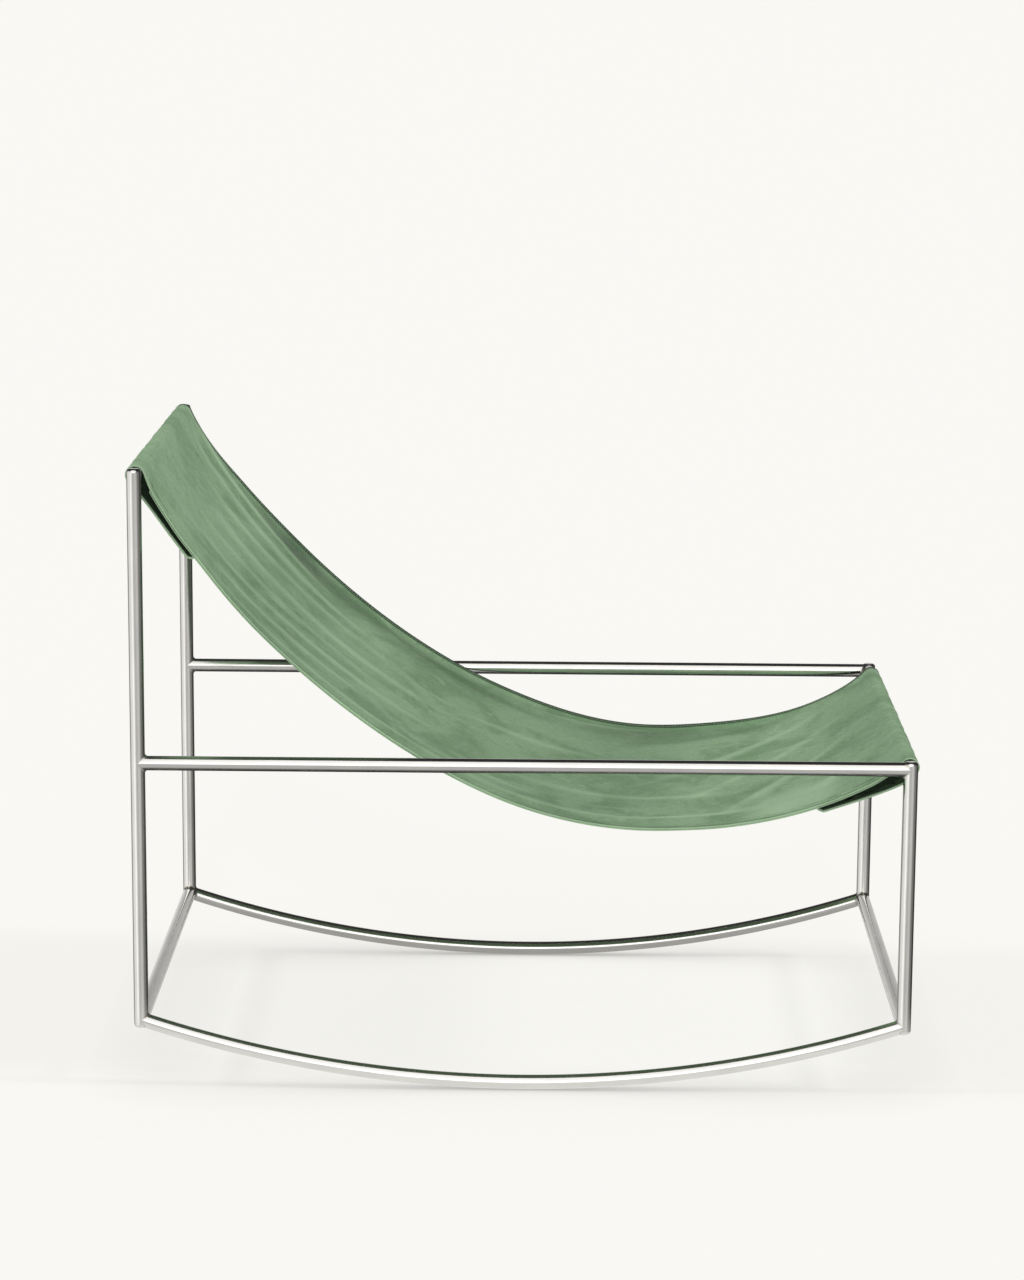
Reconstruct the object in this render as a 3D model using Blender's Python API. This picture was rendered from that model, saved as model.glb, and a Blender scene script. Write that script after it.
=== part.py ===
"""Rocking lounge chair: a welded frame of round stainless tube that carries one leather sling.

Metres, +Z up. +X points to the front, +Y to the sitter's left. The origin is on the floor, at the
middle of the chair's length and width, below the lowest point of the rockers.
"""

import math

import bmesh
import bpy
import numpy as np
from mathutils import Matrix, Vector

# Frame, axis to axis
FRAME_LENGTH = 0.945       # rear posts to front posts
FRAME_WIDTH = 0.600        # left rocker to right rocker
BACK_RISE = 0.680          # lower corners to the rear sling bar
ARM_RISE = 0.326           # lower corners to the arm rails and the front sling bar
ROCKER_SAG = 0.077         # lower corners to the lowest point of the rocker's axis

# Round tube
TUBE_OD = 0.018
TUBE_WALL = 0.0015
FRONT_STRETCHER_WALL = 0.0052  # thicker, so that the empty chair rests level
POST_OVERRUN = 0.010       # a post's end past the axis of the tubes that meet it
CAP_ROUND = 0.0045         # ground edge of a post's end
SPIGOT_LENGTH = 0.004      # the cap's plug inside the post
FIT = 0.0003               # clearance between two pieces that meet
WELD_LEG = 0.0036          # how far a weld runs up each of the two tubes
WELD_THIN = 0.0005         # weld height where the two tubes run flush

# Leather sling
LEATHER = 0.0022           # thickness of the hide
SLING_SIDE_CLEARANCE = 0.0055  # sling edge to the inner face of a post
REAR_LEAVE = math.radians(64.0)   # slope of the panel where it leaves the rear bar
FRONT_ARRIVE = math.radians(45.5)  # slope of the panel where it meets the front bar
REAR_PULL = 0.168          # length of the panel curve's handle at the rear bar
REAR_BELLY = 0.281         # handle behind the lowest point
FRONT_BELLY = 0.073        # handle in front of the lowest point
FRONT_PULL = 0.108         # handle at the front bar
LOW_BEHIND_FRONT = 0.302   # front bar axis back to the sling's lowest point
LOW_BELOW_FRONT = 0.080    # front bar axis down to the sling's lowest point
FLAP_REACH = 0.116         # bar to the sewn end of the flap, along the panel
POCKET_GAP = 0.0055        # open height between panel and flap
REAR_FLAP_LEAVE = math.radians(50.0)   # slope of the rear flap where it leaves the bar
REAR_FLAP_PULL = 0.020     # handle of its curve at the bar
REAR_FLAP_EASE = 0.060     # handle of its curve before the sewn end
FRONT_FLAP_LEAVE = math.radians(75.0)  # slope of the front flap where it leaves the bar
FRONT_FLAP_PULL = 0.0165
FRONT_FLAP_EASE = 0.075
LIP_RUN = 0.006            # how far the sewn end slants while it rises to the panel

# Edge strips under the panel, and the sewing thread
STRIP_WIDTH = 0.018
STRIP_START = 0.030        # rear bar to the strip's rear end, along the panel
STRIP_STOP = 0.022         # front bar to the strip's front end, along the panel
THREAD = 0.0008
SEAM_INSET = 0.007         # sewn line to the edge it follows

# Resolution
TUBE_SIDES = 24
CUTTER_SIDES = 24
ROCKER_STEPS = 19          # odd, so that the middle step lies flat on the floor
WELD_SIDES = 18
PANEL_STEPS = 20
WRAP_STEPS = 10
FLAP_STEPS = 10
THREAD_SIDES = 4
CAP_STEPS = 3

TUBE_R = TUBE_OD / 2
ENVELOPE_R = TUBE_R + FIT
HALF_L = FRAME_LENGTH / 2
HALF_W = FRAME_WIDTH / 2
ROCKER_R = (HALF_L**2 + ROCKER_SAG**2) / (2 * ROCKER_SAG)
ROCKER_ANGLE = math.asin(HALF_L / ROCKER_R)
FLAT_SAG = ROCKER_R * (1 - math.cos(ROCKER_ANGLE / ROCKER_STEPS))
CORNER_Z = TUBE_R + ROCKER_SAG - FLAT_SAG
BACK_Z = CORNER_Z + BACK_RISE
ARM_Z = CORNER_Z + ARM_RISE
REAR, FRONT = -1, 1
SIDES = {"left": 1, "right": -1}


# ---------------------------------------------------------------- scene and materials

def clear_scene():
    for obj in list(bpy.data.objects):
        bpy.data.objects.remove(obj, do_unlink=True)


def make_material(name, colour, metallic, roughness):
    material = bpy.data.materials.new(name)
    material.use_nodes = True
    shader = material.node_tree.nodes["Principled BSDF"]
    shader.inputs["Base Color"].default_value = (*colour, 1.0)
    shader.inputs["Metallic"].default_value = metallic
    shader.inputs["Roughness"].default_value = roughness
    material.diffuse_color = (*colour, 1.0)
    return material


def add_object(name, mesh, material):
    mesh.materials.append(material)
    obj = bpy.data.objects.new(name, mesh)
    bpy.context.scene.collection.objects.link(obj)
    mesh.shade_smooth()
    mesh.set_sharp_from_angle(angle=math.radians(35))
    return obj


def make_cutter(name, mesh):
    obj = bpy.data.objects.new(name, mesh)
    bpy.context.scene.collection.objects.link(obj)
    obj.hide_render = True
    obj.display_type = "WIRE"
    return obj


def cut(obj, cutters):
    for cutter in cutters:
        modifier = obj.modifiers.new("cut_" + cutter.name, "BOOLEAN")
        modifier.operation = "DIFFERENCE"
        modifier.solver = "EXACT"
        modifier.object = cutter


# ---------------------------------------------------------------- meshes from rings of points

def mesh_of_rings(name, rings, closed_path=False):
    """Joins rings of equal length into one skin; an open path gets a flat face at each end."""
    rings = np.asarray(rings, float)
    steps, sides = rings.shape[:2]
    faces = []
    for i in range(steps if closed_path else steps - 1):
        here, there = i * sides, ((i + 1) % steps) * sides
        for j in range(sides):
            k = (j + 1) % sides
            faces.append((here + j, here + k, there + k, there + j))
    if not closed_path:
        faces.append(tuple(range(sides))[::-1])
        faces.append(tuple(range((steps - 1) * sides, steps * sides)))
    mesh = bpy.data.meshes.new(name)
    mesh.from_pydata(rings.reshape(-1, 3).tolist(), [], faces)
    face_out(mesh)
    return mesh


def face_out(mesh):
    work = bmesh.new()
    work.from_mesh(mesh)
    bmesh.ops.recalc_face_normals(work, faces=work.faces)
    if work.calc_volume(signed=True) < 0:
        bmesh.ops.reverse_faces(work, faces=work.faces)
    work.to_mesh(mesh)
    work.free()
    mesh.update()


def circle(radius, sides):
    """Points round a circle, the first one on its first axis."""
    turn = np.arange(sides) * 2 * math.pi / sides
    return radius * np.cos(turn), radius * np.sin(turn)


def ring_at(centre, first, second, radius, sides):
    """A circle of points round centre, in the plane of the unit vectors first and second."""
    a, b = circle(radius, sides)
    return np.asarray(centre) + a[:, None] * np.asarray(first) + b[:, None] * np.asarray(second)


def hollow_mesh(name, outer, inner):
    """A pipe: the outer skin, and the bore back again, joined over both ends."""
    return mesh_of_rings(name, list(outer) + list(inner)[::-1], closed_path=True)


def across_pair(way):
    """Two unit vectors square to way and to each other, the first as near upright as it can be."""
    hint = Vector((0, 1, 0)) if abs(way.normalized().z) > 0.99 else Vector((0, 0, 1))
    second = way.cross(hint).normalized()
    return second.cross(way).normalized(), second


def straight_tube(name, start, end, wall):
    first, second = across_pair(Vector(end) - Vector(start))
    outer = [ring_at(p, first, second, TUBE_R, TUBE_SIDES) for p in (start, end)]
    inner = [ring_at(p, first, second, TUBE_R - wall, TUBE_SIDES) for p in (start, end)]
    return hollow_mesh(name, outer, inner)


def rod_mesh(name, start, end, radius, sides):
    first, second = across_pair(Vector(end) - Vector(start))
    return mesh_of_rings(name, [ring_at(p, first, second, radius, sides) for p in (start, end)])


# ---------------------------------------------------------------- posts and their caps

def post_top(end):
    return (BACK_Z if end == REAR else ARM_Z) + POST_OVERRUN


POST_FOOT = CORNER_Z - POST_OVERRUN


def make_post(name, end, side, steel):
    x, y = end * HALF_L, side * HALF_W
    low = POST_FOOT + CAP_ROUND + FIT
    high = post_top(end) - CAP_ROUND - FIT
    add_object(name, straight_tube(name, (x, y, low), (x, y, high), TUBE_WALL), steel)


def cap_profile(grow=0.0):
    """Radius and height above the joint face, from the rounded shoulder to the flat crown."""
    turn = np.linspace(0, math.pi / 2, CAP_STEPS + 1)
    round_r = CAP_ROUND + grow
    radius = TUBE_R - CAP_ROUND + round_r * np.cos(turn)
    return list(zip(radius, round_r * np.sin(turn)))


def turned_mesh(name, x, y, z, up, profile, sides):
    """A solid of revolution on a vertical axis; up is 1 or -1."""
    rings = [ring_at((x, y, z + up * h), (1, 0, 0), (0, 1, 0), r, sides) for r, h in profile]
    return mesh_of_rings(name, rings)


def make_cap(name, end, side, up, steel):
    """A plug pressed in the post's end and ground to a rounded crown."""
    plug = TUBE_R - TUBE_WALL - FIT
    face = post_top(end) - CAP_ROUND if up > 0 else POST_FOOT + CAP_ROUND
    profile = [(plug, -SPIGOT_LENGTH), (plug, 0.0)] + cap_profile()
    add_object(name, turned_mesh(name, end * HALF_L, side * HALF_W, face, up, profile, TUBE_SIDES), steel)


# ---------------------------------------------------------------- envelopes that shape the tube ends

def post_envelope(end, side):
    """The post with its clearance, run on past both ends: tubes are coped to it."""
    x, y = end * HALF_L, side * HALF_W
    name = f"cope_post_{end}_{side}"
    mesh = rod_mesh(name, (x, y, POST_FOOT - TUBE_OD), (x, y, post_top(end) + TUBE_OD),
                    ENVELOPE_R, CUTTER_SIDES)
    return make_cutter(name, mesh)


def capped_envelope(end, side):
    """The post and its two rounded caps, with their clearance: welds are cut to it."""
    x, y = end * HALF_L, side * HALF_W
    low, high = POST_FOOT + CAP_ROUND, post_top(end) - CAP_ROUND
    dome = cap_profile(FIT)
    rings = [ring_at((x, y, low - h), (1, 0, 0), (0, 1, 0), r, CUTTER_SIDES) for r, h in dome[::-1]]
    rings += [ring_at((x, y, high + h), (1, 0, 0), (0, 1, 0), r, CUTTER_SIDES) for r, h in dome]
    name = f"weld_cut_post_{end}_{side}"
    return make_cutter(name, mesh_of_rings(name, rings))


def bar_envelope(name, x, z):
    mesh = rod_mesh(name, (x, -HALF_W, z), (x, HALF_W, z), ENVELOPE_R, CUTTER_SIDES)
    return make_cutter(name, mesh)


def branch_envelope(name, corner, direction):
    mesh = rod_mesh(name, Vector(corner) - direction * TUBE_OD, Vector(corner) + direction * 3 * TUBE_OD,
                    ENVELOPE_R, CUTTER_SIDES)
    return make_cutter(name, mesh)


# ---------------------------------------------------------------- arms, bars, stretchers, rockers

def make_arm(name, side, steel, cutters):
    y = side * HALF_W
    mesh = straight_tube(name, (-HALF_L, y, ARM_Z), (HALF_L, y, ARM_Z), TUBE_WALL)
    cut(add_object(name, mesh, steel), cutters)


def make_bar(name, x, z, wall, steel, cutters):
    mesh = straight_tube(name, (x, -HALF_W, z), (x, HALF_W, z), wall)
    cut(add_object(name, mesh, steel), cutters)


def rocker_rings(y, radius):
    """Rings square to the arc; the two end rings are slid along it into the plane of the posts."""
    centre_z = CORNER_Z + ROCKER_R * math.cos(ROCKER_ANGLE)
    rings = []
    for turn in np.linspace(-ROCKER_ANGLE, ROCKER_ANGLE, ROCKER_STEPS + 1):
        out = np.array((math.sin(turn), 0.0, -math.cos(turn)))
        along = np.array((math.cos(turn), 0.0, math.sin(turn)))
        centre = np.array((0.0, y, centre_z)) + ROCKER_R * out
        ring = ring_at(centre, out, (0.0, 1.0, 0.0), radius, TUBE_SIDES)
        if abs(turn) > ROCKER_ANGLE * 0.999:
            ring += ((centre[0] - ring[:, 0]) / along[0])[:, None] * along
        rings.append(ring)
    return rings


def make_rocker(name, side, steel, cutters):
    y = side * HALF_W
    mesh = hollow_mesh(name, rocker_rings(y, TUBE_R), rocker_rings(y, TUBE_R - TUBE_WALL))
    cut(add_object(name, mesh, steel), cutters)


# ---------------------------------------------------------------- welds

# Along the tube from the saddle, in weld legs; then the fillet's height and the thin skin's
# height, as shares of the leg and of the skin's own height. The first lies inside the post.
WELD_STATIONS = ((-1.0, 1.0, -1.2), (0.0, 1.0, 1.0), (0.35, 0.36, 0.9), (0.7, 0.1, 0.7), (1.05, 0.0, 0.5))


def make_weld(name, corner, direction, across, slope, post_end, neighbour, material, cutters):
    """A ring of weld round the end of one tube, where it meets a post of the same diameter.

    direction is the tube's axis out of the corner and across the horizontal unit vector beside it.
    The ring follows the saddle where the tube leaves the post. slope is the angle by which the tube
    falls away from level. post_end is 1 or -1 where the post ends just above or below the corner,
    and the weld lies flush there. neighbour is 1 or -1 where another tube leaves the same corner
    along across, or 0: the weld then fills the angle to it and stops half way between the two.
    """
    up = direction.cross(across)
    if up.z < 0:
        up = -up
    turn = np.arange(WELD_SIDES) * 2 * math.pi / WELD_SIDES
    high, wide = np.cos(turn), np.sin(turn)
    saddle = TUBE_R * (np.abs(high) - high * math.sin(slope)) / math.cos(slope)
    full = high**2
    if post_end:
        full = np.where(high * post_end > 0, WELD_THIN / WELD_LEG, full)
    if neighbour:
        beside = np.clip(neighbour * wide, 0, None)
        saddle = np.maximum(saddle, TUBE_R * beside)
        full = np.maximum(full, beside**2)
    rings = []
    for back, fillet, skin in WELD_STATIONS:
        radius = ENVELOPE_R + WELD_LEG * full * fillet + WELD_THIN * skin
        reach = saddle + WELD_LEG * back
        rings.append(np.asarray(corner) + reach[:, None] * np.asarray(direction)
                     + (radius * high)[:, None] * np.asarray(up)
                     + (radius * wide)[:, None] * np.asarray(across))
    mesh = mesh_of_rings(name, rings)
    if neighbour:
        halve(mesh, corner, (direction - neighbour * across).normalized())
    cut(add_object(name, mesh, material), cutters)


def halve(mesh, corner, keep):
    """Keeps the part of the mesh on the keep side of a plane through the corner, and closes it."""
    work = bmesh.new()
    work.from_mesh(mesh)
    bmesh.ops.triangulate(work, faces=work.faces)
    found = bmesh.ops.bisect_plane(work, geom=work.verts[:] + work.edges[:] + work.faces[:],
                                   plane_co=Vector(corner) + keep * FIT, plane_no=keep,
                                   clear_inner=True)
    rim = [e for e in found["geom_cut"] if isinstance(e, bmesh.types.BMEdge)]
    bmesh.ops.triangle_fill(work, edges=rim, use_beauty=True)
    bmesh.ops.recalc_face_normals(work, faces=work.faces)
    work.to_mesh(mesh)
    work.free()


# ---------------------------------------------------------------- sling

def bezier(points, steps):
    """A cubic from four points, as steps + 1 places in the X-Z plane."""
    a, b, c, d = (np.asarray(p, float) for p in points)
    t = np.linspace(0, 1, steps + 1)[:, None]
    return (1 - t) ** 3 * a + 3 * (1 - t) ** 2 * t * b + 3 * (1 - t) * t**2 * c + t**3 * d


REAR_BAR = np.array((-HALF_L, BACK_Z))
FRONT_BAR = np.array((HALF_L, ARM_Z))
WRAP_R = TUBE_R + FIT + LEATHER / 2


def heading(angle):
    return np.array((math.cos(angle), math.sin(angle)))


def bearing(way):
    return math.atan2(way[1], way[0])


def panel_curve():
    """The middle of the hide between the two bars: a falling and a rising curve, level where they meet."""
    rear_way, front_way = heading(-REAR_LEAVE), heading(FRONT_ARRIVE)
    start = REAR_BAR + WRAP_R * np.array((math.sin(REAR_LEAVE), math.cos(REAR_LEAVE)))
    end = FRONT_BAR + WRAP_R * np.array((-math.sin(FRONT_ARRIVE), math.cos(FRONT_ARRIVE)))
    low = FRONT_BAR - np.array((LOW_BEHIND_FRONT, LOW_BELOW_FRONT))
    fall = bezier((start, start + REAR_PULL * rear_way, low - (REAR_BELLY, 0), low), PANEL_STEPS)
    rise = bezier((low, low + (FRONT_BELLY, 0), end - FRONT_PULL * front_way, end), PANEL_STEPS // 2)
    return np.vstack((fall, rise[1:]))


def normals_of(curve):
    """Unit normals on the seat side, and the length run so far."""
    way = np.gradient(curve, axis=0)
    way /= np.linalg.norm(way, axis=1)[:, None]
    run = np.concatenate(([0.0], np.cumsum(np.linalg.norm(np.diff(curve, axis=0), axis=1))))
    return np.stack((-way[:, 1], way[:, 0]), axis=1), run


def place_on(curve, run_at, lift):
    """The point at a length along the curve, lifted by so much to the seat side, and the normal there."""
    normals, run = normals_of(curve)
    point = np.array([np.interp(run_at, run, curve[:, i]) for i in (0, 1)])
    normal = np.array([np.interp(run_at, run, normals[:, i]) for i in (0, 1)])
    normal /= np.linalg.norm(normal)
    return point + lift * normal, normal


def arc(centre, start, end):
    """Places round a bar between two angles, both left out."""
    turn = np.linspace(start, end, WRAP_STEPS + 2)[1:-1]
    return centre + WRAP_R * np.stack((np.cos(turn), np.sin(turn)), axis=1)


def flap_curve(panel, end, lip_drop):
    """From the bar to the flap's end, then up to the panel: listed outwards from the bar."""
    _, run = normals_of(panel)
    total = run[-1]
    if end == REAR:
        bar, leave, pull, ease = REAR_BAR, REAR_FLAP_LEAVE, REAR_FLAP_PULL, REAR_FLAP_EASE
    else:
        bar, leave, pull, ease = FRONT_BAR, FRONT_FLAP_LEAVE, FRONT_FLAP_PULL, FRONT_FLAP_EASE
    inward = -end
    start = bar + WRAP_R * np.array((-inward * math.sin(leave), -math.cos(leave)))
    way = np.array((inward * math.cos(leave), -math.sin(leave)))
    place = FLAP_REACH if end == REAR else total - FLAP_REACH
    sewn, normal = place_on(panel, place, -(LEATHER + POCKET_GAP))
    along = np.array((normal[1], -normal[0])) * inward
    body = bezier((start, start + pull * way, sewn - ease * along, sewn), FLAP_STEPS)
    lip = sewn + along * LIP_RUN + normal * (POCKET_GAP - FIT - lip_drop)
    return np.vstack((body, lip[None, :]))


def sling_outline(lip_drop):
    """The closed outline of the hide in the X-Z plane: its middle line, thickened by half each way."""
    panel = panel_curve()
    rear_flap = flap_curve(panel, REAR, lip_drop)
    front_flap = flap_curve(panel, FRONT, lip_drop)
    rear_from = bearing(rear_flap[0] - REAR_BAR) % (2 * math.pi)
    front_from = bearing(panel[-1] - FRONT_BAR)
    middle = np.vstack((rear_flap[::-1], arc(REAR_BAR, rear_from, bearing(panel[0] - REAR_BAR)), panel,
                        arc(FRONT_BAR, front_from, bearing(front_flap[0] - FRONT_BAR)), front_flap))
    way = np.diff(middle, axis=0)
    way /= np.linalg.norm(way, axis=1)[:, None]
    before = np.vstack((way[:1], way))
    after = np.vstack((way, way[-1:]))
    mitre = (before + after) / (1 + (before * after).sum(axis=1))[:, None]
    offset = LEATHER / 2 * np.stack((-mitre[:, 1], mitre[:, 0]), axis=1)
    return np.vstack((middle + offset, (middle - offset)[::-1]))


SLING_HALF = HALF_W - TUBE_R - SLING_SIDE_CLEARANCE


def make_sling(name, leather):
    """The outline carried across the chair; the sewn lips pass under the edge strips at both sides."""
    strip_room = LEATHER + FIT
    inner = SLING_HALF - STRIP_WIDTH - FIT
    stations = ((-SLING_HALF, strip_room), (-inner, strip_room), (-inner + FIT, 0.0),
                (inner - FIT, 0.0), (inner, strip_room), (SLING_HALF, strip_room))
    rings = []
    for y, lip_drop in stations:
        outline = sling_outline(lip_drop)
        rings.append(np.stack((outline[:, 0], np.full(len(outline), y), outline[:, 1]), axis=1))
    add_object(name, triangulated(mesh_of_rings(name, rings)), leather)


def triangulated(mesh):
    work = bmesh.new()
    work.from_mesh(mesh)
    bmesh.ops.triangulate(work, faces=work.faces, ngon_method="EAR_CLIP")
    work.to_mesh(mesh)
    work.free()
    return mesh


def panel_between(start, stop, lift):
    """The panel's line from start to stop along its length, lifted to the seat side."""
    panel = panel_curve()
    normals, run = normals_of(panel)
    keep = (run > start + STRIP_WIDTH / 4) & (run < stop - STRIP_WIDTH / 4)
    first, _ = place_on(panel, start, lift)
    last, _ = place_on(panel, stop, lift)
    return np.vstack((first[None, :], (panel + lift * normals)[keep], last[None, :]))


def strip_ends():
    _, run = normals_of(panel_curve())
    return STRIP_START, run[-1] - STRIP_STOP


def make_strip(name, side, leather):
    """A second layer of hide under each long edge of the panel."""
    start, stop = strip_ends()
    top = panel_between(start, stop, -(LEATHER / 2 + FIT))
    bottom = panel_between(start, stop, -(LEATHER / 2 + FIT + LEATHER))
    y_out, y_in = side * SLING_HALF, side * (SLING_HALF - STRIP_WIDTH)
    rings = []
    for (x0, z0), (x1, z1) in zip(top, bottom):
        rings.append([(x0, y_out, z0), (x0, y_in, z0), (x1, y_in, z1), (x1, y_out, z1)])
    add_object(name, mesh_of_rings(name, rings), leather)


def make_edge_thread(name, side, thread):
    """The sewn line along a long edge, lying on the seat side of the panel."""
    start, stop = strip_ends()
    line = panel_between(start + SEAM_INSET, stop - SEAM_INSET, LEATHER / 2 + FIT + THREAD / 2)
    way = np.gradient(line, axis=0)
    way /= np.linalg.norm(way, axis=1)[:, None]
    y = side * (SLING_HALF - SEAM_INSET)
    rings = [ring_at((p[0], y, p[1]), (-w[1], 0, w[0]), (0, 1, 0), THREAD / 2, THREAD_SIDES)
             for p, w in zip(line, way)]
    add_object(name, mesh_of_rings(name, rings), thread)


def make_seam_thread(name, end, thread):
    """The sewn line across the panel over the end of a flap."""
    panel = panel_curve()
    _, run = normals_of(panel)
    reach = FLAP_REACH + LIP_RUN
    place = reach if end == REAR else run[-1] - reach
    (x, z), _ = place_on(panel, place, LEATHER / 2 + FIT + THREAD / 2)
    half = SLING_HALF - 2 * SEAM_INSET
    add_object(name, rod_mesh(name, (x, -half, z), (x, half, z), THREAD / 2, THREAD_SIDES), thread)


# ---------------------------------------------------------------- assembly

def build():
    clear_scene()
    steel = make_material("satin_stainless", (0.62, 0.61, 0.59), 1.0, 0.32)
    weld = make_material("ground_weld", (0.58, 0.57, 0.55), 1.0, 0.4)
    leather = make_material("green_leather", (0.205, 0.318, 0.195), 0.0, 0.55)
    thread = make_material("green_thread", (0.160, 0.255, 0.155), 0.0, 0.7)

    x_axis, y_axis = Vector((1, 0, 0)), Vector((0, 1, 0))
    bars = {
        "rear_sling_bar": (-HALF_L, BACK_Z, TUBE_WALL),
        "front_sling_bar": (HALF_L, ARM_Z, TUBE_WALL),
        "rear_stretcher": (-HALF_L, CORNER_Z, TUBE_WALL),
        "front_stretcher": (HALF_L, CORNER_Z, FRONT_STRETCHER_WALL),
    }
    bar_cuts = {name: bar_envelope("cope_" + name, x, z) for name, (x, z, _) in bars.items()}
    cope = {(end, side): post_envelope(end, side) for end in (REAR, FRONT) for side in (1, -1)}
    weld_cut = {(end, side): capped_envelope(end, side) for end in (REAR, FRONT) for side in (1, -1)}

    for name, (x, z, wall) in bars.items():
        end = REAR if x < 0 else FRONT
        make_bar(name, x, z, wall, steel, (cope[end, 1], cope[end, -1]))

    for side_name, side in SIDES.items():
        y = side * HALF_W
        for end_name, end in (("rear", REAR), ("front", FRONT)):
            make_post(f"{end_name}_post_{side_name}", end, side, steel)
            make_cap(f"{end_name}_post_top_cap_{side_name}", end, side, 1, steel)
            make_cap(f"{end_name}_post_foot_cap_{side_name}", end, side, -1, steel)
        make_arm(f"arm_rail_{side_name}", side, steel,
                 (cope[REAR, side], cope[FRONT, side], bar_cuts["front_sling_bar"]))
        make_rocker(f"rocker_{side_name}", side, steel,
                    (cope[REAR, side], cope[FRONT, side],
                     bar_cuts["rear_stretcher"], bar_cuts["front_stretcher"]))

        inward = -side
        for end_name, end in (("rear", REAR), ("front", FRONT)):
            # Lower corner: the rocker and the stretcher meet the post's foot
            corner = Vector((end * HALF_L, y, CORNER_Z))
            rocker_way = Vector((-end * math.cos(ROCKER_ANGLE), 0, -math.sin(ROCKER_ANGLE)))
            rocker_cut = branch_envelope(f"weld_cut_rocker_{end}_{side}", corner, rocker_way)
            stretcher_cut = bar_cuts[f"{end_name}_stretcher"]
            make_weld(f"rocker_{end_name}_weld_{side_name}", corner, rocker_way, y_axis, ROCKER_ANGLE,
                      -1, inward, weld, (weld_cut[end, side], rocker_cut, stretcher_cut))
            make_weld(f"{end_name}_stretcher_weld_{side_name}", corner, inward * y_axis,
                      rocker_way, 0.0, -1, 1, weld, (weld_cut[end, side], stretcher_cut, rocker_cut))

        # Arm rail on the rear post, part way up
        corner = Vector((-HALF_L, y, ARM_Z))
        arm_cut = branch_envelope(f"weld_cut_arm_{REAR}_{side}", corner, x_axis)
        make_weld(f"arm_rear_weld_{side_name}", corner, x_axis, y_axis, 0.0, 0, 0,
                  weld, (weld_cut[REAR, side], arm_cut))
        # Rear sling bar at the top of the rear post
        corner = Vector((-HALF_L, y, BACK_Z))
        make_weld(f"rear_bar_weld_{side_name}", corner, inward * y_axis, x_axis, 0.0, 1, 0,
                  weld, (weld_cut[REAR, side], bar_cuts["rear_sling_bar"]))
        # Arm rail and front sling bar at the top of the front post
        corner = Vector((HALF_L, y, ARM_Z))
        arm_cut = branch_envelope(f"weld_cut_arm_{FRONT}_{side}", corner, -x_axis)
        make_weld(f"arm_front_weld_{side_name}", corner, -x_axis, y_axis, 0.0, 1, inward,
                  weld, (weld_cut[FRONT, side], arm_cut, bar_cuts["front_sling_bar"]))
        make_weld(f"front_bar_weld_{side_name}", corner, inward * y_axis, -x_axis, 0.0, 1, 1,
                  weld, (weld_cut[FRONT, side], bar_cuts["front_sling_bar"], arm_cut))

        make_strip(f"edge_strip_{side_name}", side, leather)
        make_edge_thread(f"edge_thread_{side_name}", side, thread)

    make_sling("seat_sling", leather)
    make_seam_thread("rear_seam_thread", REAR, thread)
    make_seam_thread("front_seam_thread", FRONT, thread)


build()
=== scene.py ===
"""Looks of the rocking lounge chair: satin stainless tube, ground welds and a waxed leather sling.

Metres, in the frame's own axes: +X to the front, +Y to the sitter's left, +Z up.
"""

import math

import bpy
import numpy as np
from mathutils import Matrix, Vector


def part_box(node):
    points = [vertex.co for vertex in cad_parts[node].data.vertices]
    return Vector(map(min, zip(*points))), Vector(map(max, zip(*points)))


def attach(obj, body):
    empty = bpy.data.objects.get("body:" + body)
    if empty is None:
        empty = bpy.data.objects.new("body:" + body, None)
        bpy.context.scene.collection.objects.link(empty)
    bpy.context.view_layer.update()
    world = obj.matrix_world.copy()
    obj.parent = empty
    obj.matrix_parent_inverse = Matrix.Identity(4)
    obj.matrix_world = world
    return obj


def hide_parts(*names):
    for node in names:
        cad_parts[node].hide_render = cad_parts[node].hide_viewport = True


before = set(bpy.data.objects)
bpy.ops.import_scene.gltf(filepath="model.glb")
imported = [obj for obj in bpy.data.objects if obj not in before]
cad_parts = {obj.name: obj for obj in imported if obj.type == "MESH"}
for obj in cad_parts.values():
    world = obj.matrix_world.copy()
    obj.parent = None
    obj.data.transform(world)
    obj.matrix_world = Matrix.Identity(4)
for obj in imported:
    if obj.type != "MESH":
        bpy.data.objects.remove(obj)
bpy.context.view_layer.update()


# ---------------------------------------------------------------- places read from the frame

def middle(node):
    low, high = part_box(node)
    return (np.array(low) + np.array(high)) / 2


def size(node):
    low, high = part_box(node)
    return np.array(high) - np.array(low)


TUBE_R = size("rear_post_left")[0] / 2
HALF_L = middle("front_post_left")[0]
HALF_W = middle("front_post_left")[1]
CORNER_Z = middle("rear_stretcher")[2]
ARM_Z = middle("front_sling_bar")[2]
BACK_Z = middle("rear_sling_bar")[2]
REAR_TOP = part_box("rear_post_top_cap_left")[1][2]
FRONT_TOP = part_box("front_post_top_cap_left")[1][2]
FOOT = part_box("rear_post_foot_cap_left")[0][2]
SLING_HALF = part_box("seat_sling")[1][1]
ROCKER_SAG = CORNER_Z - TUBE_R
ROCKER_R = (HALF_L**2 + ROCKER_SAG**2) / (2 * ROCKER_SAG)
ROCKER_ANGLE = math.asin(HALF_L / ROCKER_R)
REAR, FRONT = -1, 1
SIDES = {"left": 1, "right": -1}
ENDS = {"rear": REAR, "front": FRONT}


# ---------------------------------------------------------------- camera, floor and light

CAMERA_PLACE = (0.0288, -4.5583, 1.4080)
CAMERA_LOWERED = 11.146     # degrees below level
CAMERA_TURNED = 0.596       # degrees to the left of +Y
CAMERA_ROLLED = 0.358       # degrees
LENS_MM, SENSOR_MM = 100.58, 36.0

BACKDROP = "F8F7F3"
FLOOR_SIDE = 400.0


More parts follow.
